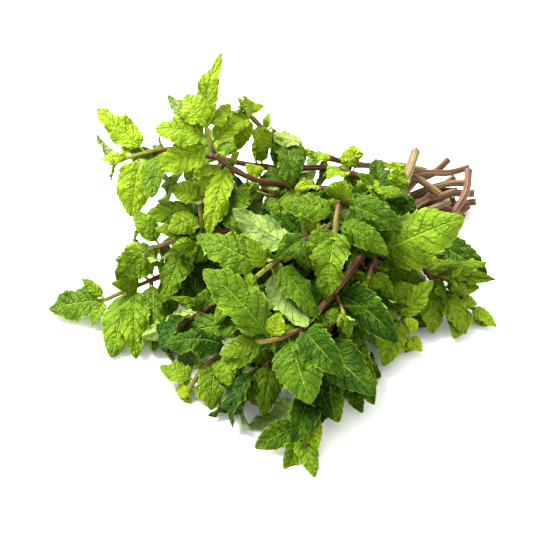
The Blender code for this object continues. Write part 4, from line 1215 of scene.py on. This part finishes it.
def stem_skin():
    """Brown at the cut end, purple further up and green at the tip, with streaks and a painted rib highlight.
    """
    n = Nodes("mint_stem_skin")
    share, draw, length = n.tint()
    place, turn = n.place(), n.uv()[0]
    # The corners are ribs with a painted highlight along them; the hollow sides between them stay
    # darker.
    quarter = n.math("FRACT", n.math("MULTIPLY", turn, 4.0))
    painted_rib_highlight = n.ramp(n.math("ABSOLUTE", n.math("MULTIPLY_ADD", quarter, 2.0, -1.0)), 0.7, 1.0)
    round_it, along_it = n.math("MULTIPLY", turn, 9.0), n.math("MULTIPLY", length, 3.0)
    streaked = n.node("ShaderNodeCombineXYZ", X=round_it, Y=along_it, Z=draw)
    streaks = n.noise(1.6, 3.0, streaked.outputs[0])
    blotches = n.noise(110.0, 3.0, place)
    deep = n.blend(draw, (0.085, 0.030, 0.020, 1), (0.085, 0.058, 0.026, 1))
    warm = n.blend(draw, (0.19, 0.095, 0.06, 1), (0.22, 0.165, 0.08, 1))
    brown = n.blend(blotches, deep, warm)
    purple = n.blend(blotches, (0.10, 0.036, 0.026, 1), (0.17, 0.085, 0.05, 1))
    green = n.blend(blotches, (0.20, 0.24, 0.04, 1), (0.30, 0.34, 0.05, 1))
    age = n.math("MULTIPLY_ADD", blotches, 0.3, share)
    upper, young = n.ramp(age, 0.4, 0.7), n.ramp(age, 1.0, 1.2)
    skin = n.blend(young, n.blend(upper, brown, purple), green)
    tan = n.blend(draw, (0.36, 0.23, 0.16, 1), (0.37, 0.30, 0.17, 1))
    tan = n.blend(upper, tan, (0.26, 0.14, 0.095, 1))
    # Painted highlight: the rib highlight and the pale streaks blend the skin towards tan; the streaks are
    # partly the stem's own striations.
    lit = n.math("MULTIPLY", n.ramp(streaks, 0.42, 0.66), 0.7)
    lit = n.math("MAXIMUM", lit, n.math("MULTIPLY", painted_rib_highlight, 0.5))
    lit = n.math("MULTIPLY", lit, n.math("SUBTRACT", 1.0, young))
    height = n.math("ADD", n.noise(900.0, 2.0, place), blotches)
    height = n.math("ADD", n.math("MULTIPLY", streaks, 1.6), height)
    n.surface(Base_Color=n.blend(lit, skin, tan), Normal=n.bump(height, 0.6, 0.0006))
    n.surface(Roughness=0.5, Specular_IOR_Level=0.25)
    return n.material


def stem_cut():
    n = Nodes("mint_stem_cut")
    pith = n.noise(1500.0, 2.0, n.place())
    colour = n.blend(pith, (0.36, 0.27, 0.14, 1), (0.60, 0.50, 0.30, 1))
    n.surface(Base_Color=colour, Normal=n.bump(pith, 0.5, 0.0003), Roughness=0.8)
    return n.material


# ---------------------------------------------------------------- setting

# The camera stands in front of the bunch at ELEVATION and looks at a point on the table.
ELEVATION = math.radians(40.0)
VIEW_AT = (-1.27, 36.56, 0.0)
VIEW_DISTANCE = 701.0
LENS = 85.0
SENSOR = 36.0

# The light: its direction, strength and softness, that of the white world, and the exposure.
KEY_FROM = (-0.55, 0.5, 1.0)
KEY_STRENGTH = 3.2
KEY_SPREAD = math.radians(32)
WORLD_STRENGTH = 0.62
EXPOSURE = 0.88
FLOOR_HALF = 4.0
FLOOR_DROP = 0.0002


def camera():
    data = bpy.data.cameras.new("camera")
    data.lens, data.sensor_width = LENS, SENSOR
    data.clip_start, data.clip_end = 0.01, 20.0
    made = linked("camera", data)
    back = Vector((0, -math.cos(ELEVATION), math.sin(ELEVATION)))
    made.location = (Vector(VIEW_AT) + back * VIEW_DISTANCE) * MM
    made.rotation_euler = (math.pi / 2 - ELEVATION, 0, 0)
    bpy.context.scene.camera = made


def floor():
    mesh = bpy.data.meshes.new("floor")
    bm = bmesh.new()
    bmesh.ops.create_grid(bm, x_segments=1, y_segments=1, size=FLOOR_HALF)
    bm.to_mesh(mesh)
    bm.free()
    n = Nodes("white_table")
    n.surface(Base_Color=(0.9, 0.9, 0.9, 1), Roughness=0.9, Specular_IOR_Level=0.1)
    mesh.materials.append(n.material)
    made = linked("floor", mesh)
    made.location = (0, 0, -FLOOR_DROP)


def studio():
    world = bpy.data.worlds.new("studio")
    world.use_nodes = True
    backdrop = world.node_tree.nodes["Background"]
    backdrop.inputs["Color"].default_value = (1, 1, 1, 1)
    backdrop.inputs["Strength"].default_value = WORLD_STRENGTH
    bpy.context.scene.world = world
    sun = bpy.data.lights.new("key", "SUN")
    sun.energy, sun.angle = KEY_STRENGTH, KEY_SPREAD
    linked("key", sun).rotation_euler = Vector(KEY_FROM).to_track_quat("Z", "Y").to_euler()
    view = bpy.context.scene.view_settings
    view.view_transform = "Standard"
    view.look = "High Contrast"
    view.exposure = EXPOSURE


# ---------------------------------------------------------------- the bunch in its frame


def bunch_box(sprigs):
    """The corners of the CAD's bunch before it was centred, in millimetres."""
    points = []
    for sprig in sprigs:
        points += [mesh_points(mesh) for mesh in sprig["meshes"]]
        points += [blade_points(leaf, *leaf["template"]["shape"], LEAF_THICK) for leaf in sprig["leaves"]]
    points = np.vstack(points)
    return points.min(axis=0), points.max(axis=0)


def dress(sprigs):
    """Puts the two fine pieces of each sprig in the place of its node."""
    low, high = bunch_box(sprigs)
    shift = np.array([(low[0] + high[0]) / 2, (low[1] + high[1]) / 2, 0])
    templates = {kind: fine_template(kind) for kind in TEETH}
    leaf_materials, stem_materials = [leaf_top(), leaf_under()], [stem_skin(), stem_cut()]
    for sprig in sprigs:
        leaves = leaves_piece(sprig, shift, leaf_materials, templates)
        stem = stem_piece(sprig, shift, stem_materials)
        for piece in (leaves, stem):
            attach(piece, "root")
            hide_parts(sprig["name"])


for obj in list(bpy.data.objects):
    bpy.data.objects.remove(obj)
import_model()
dress(grow_bunch())
floor()
camera()
studio()
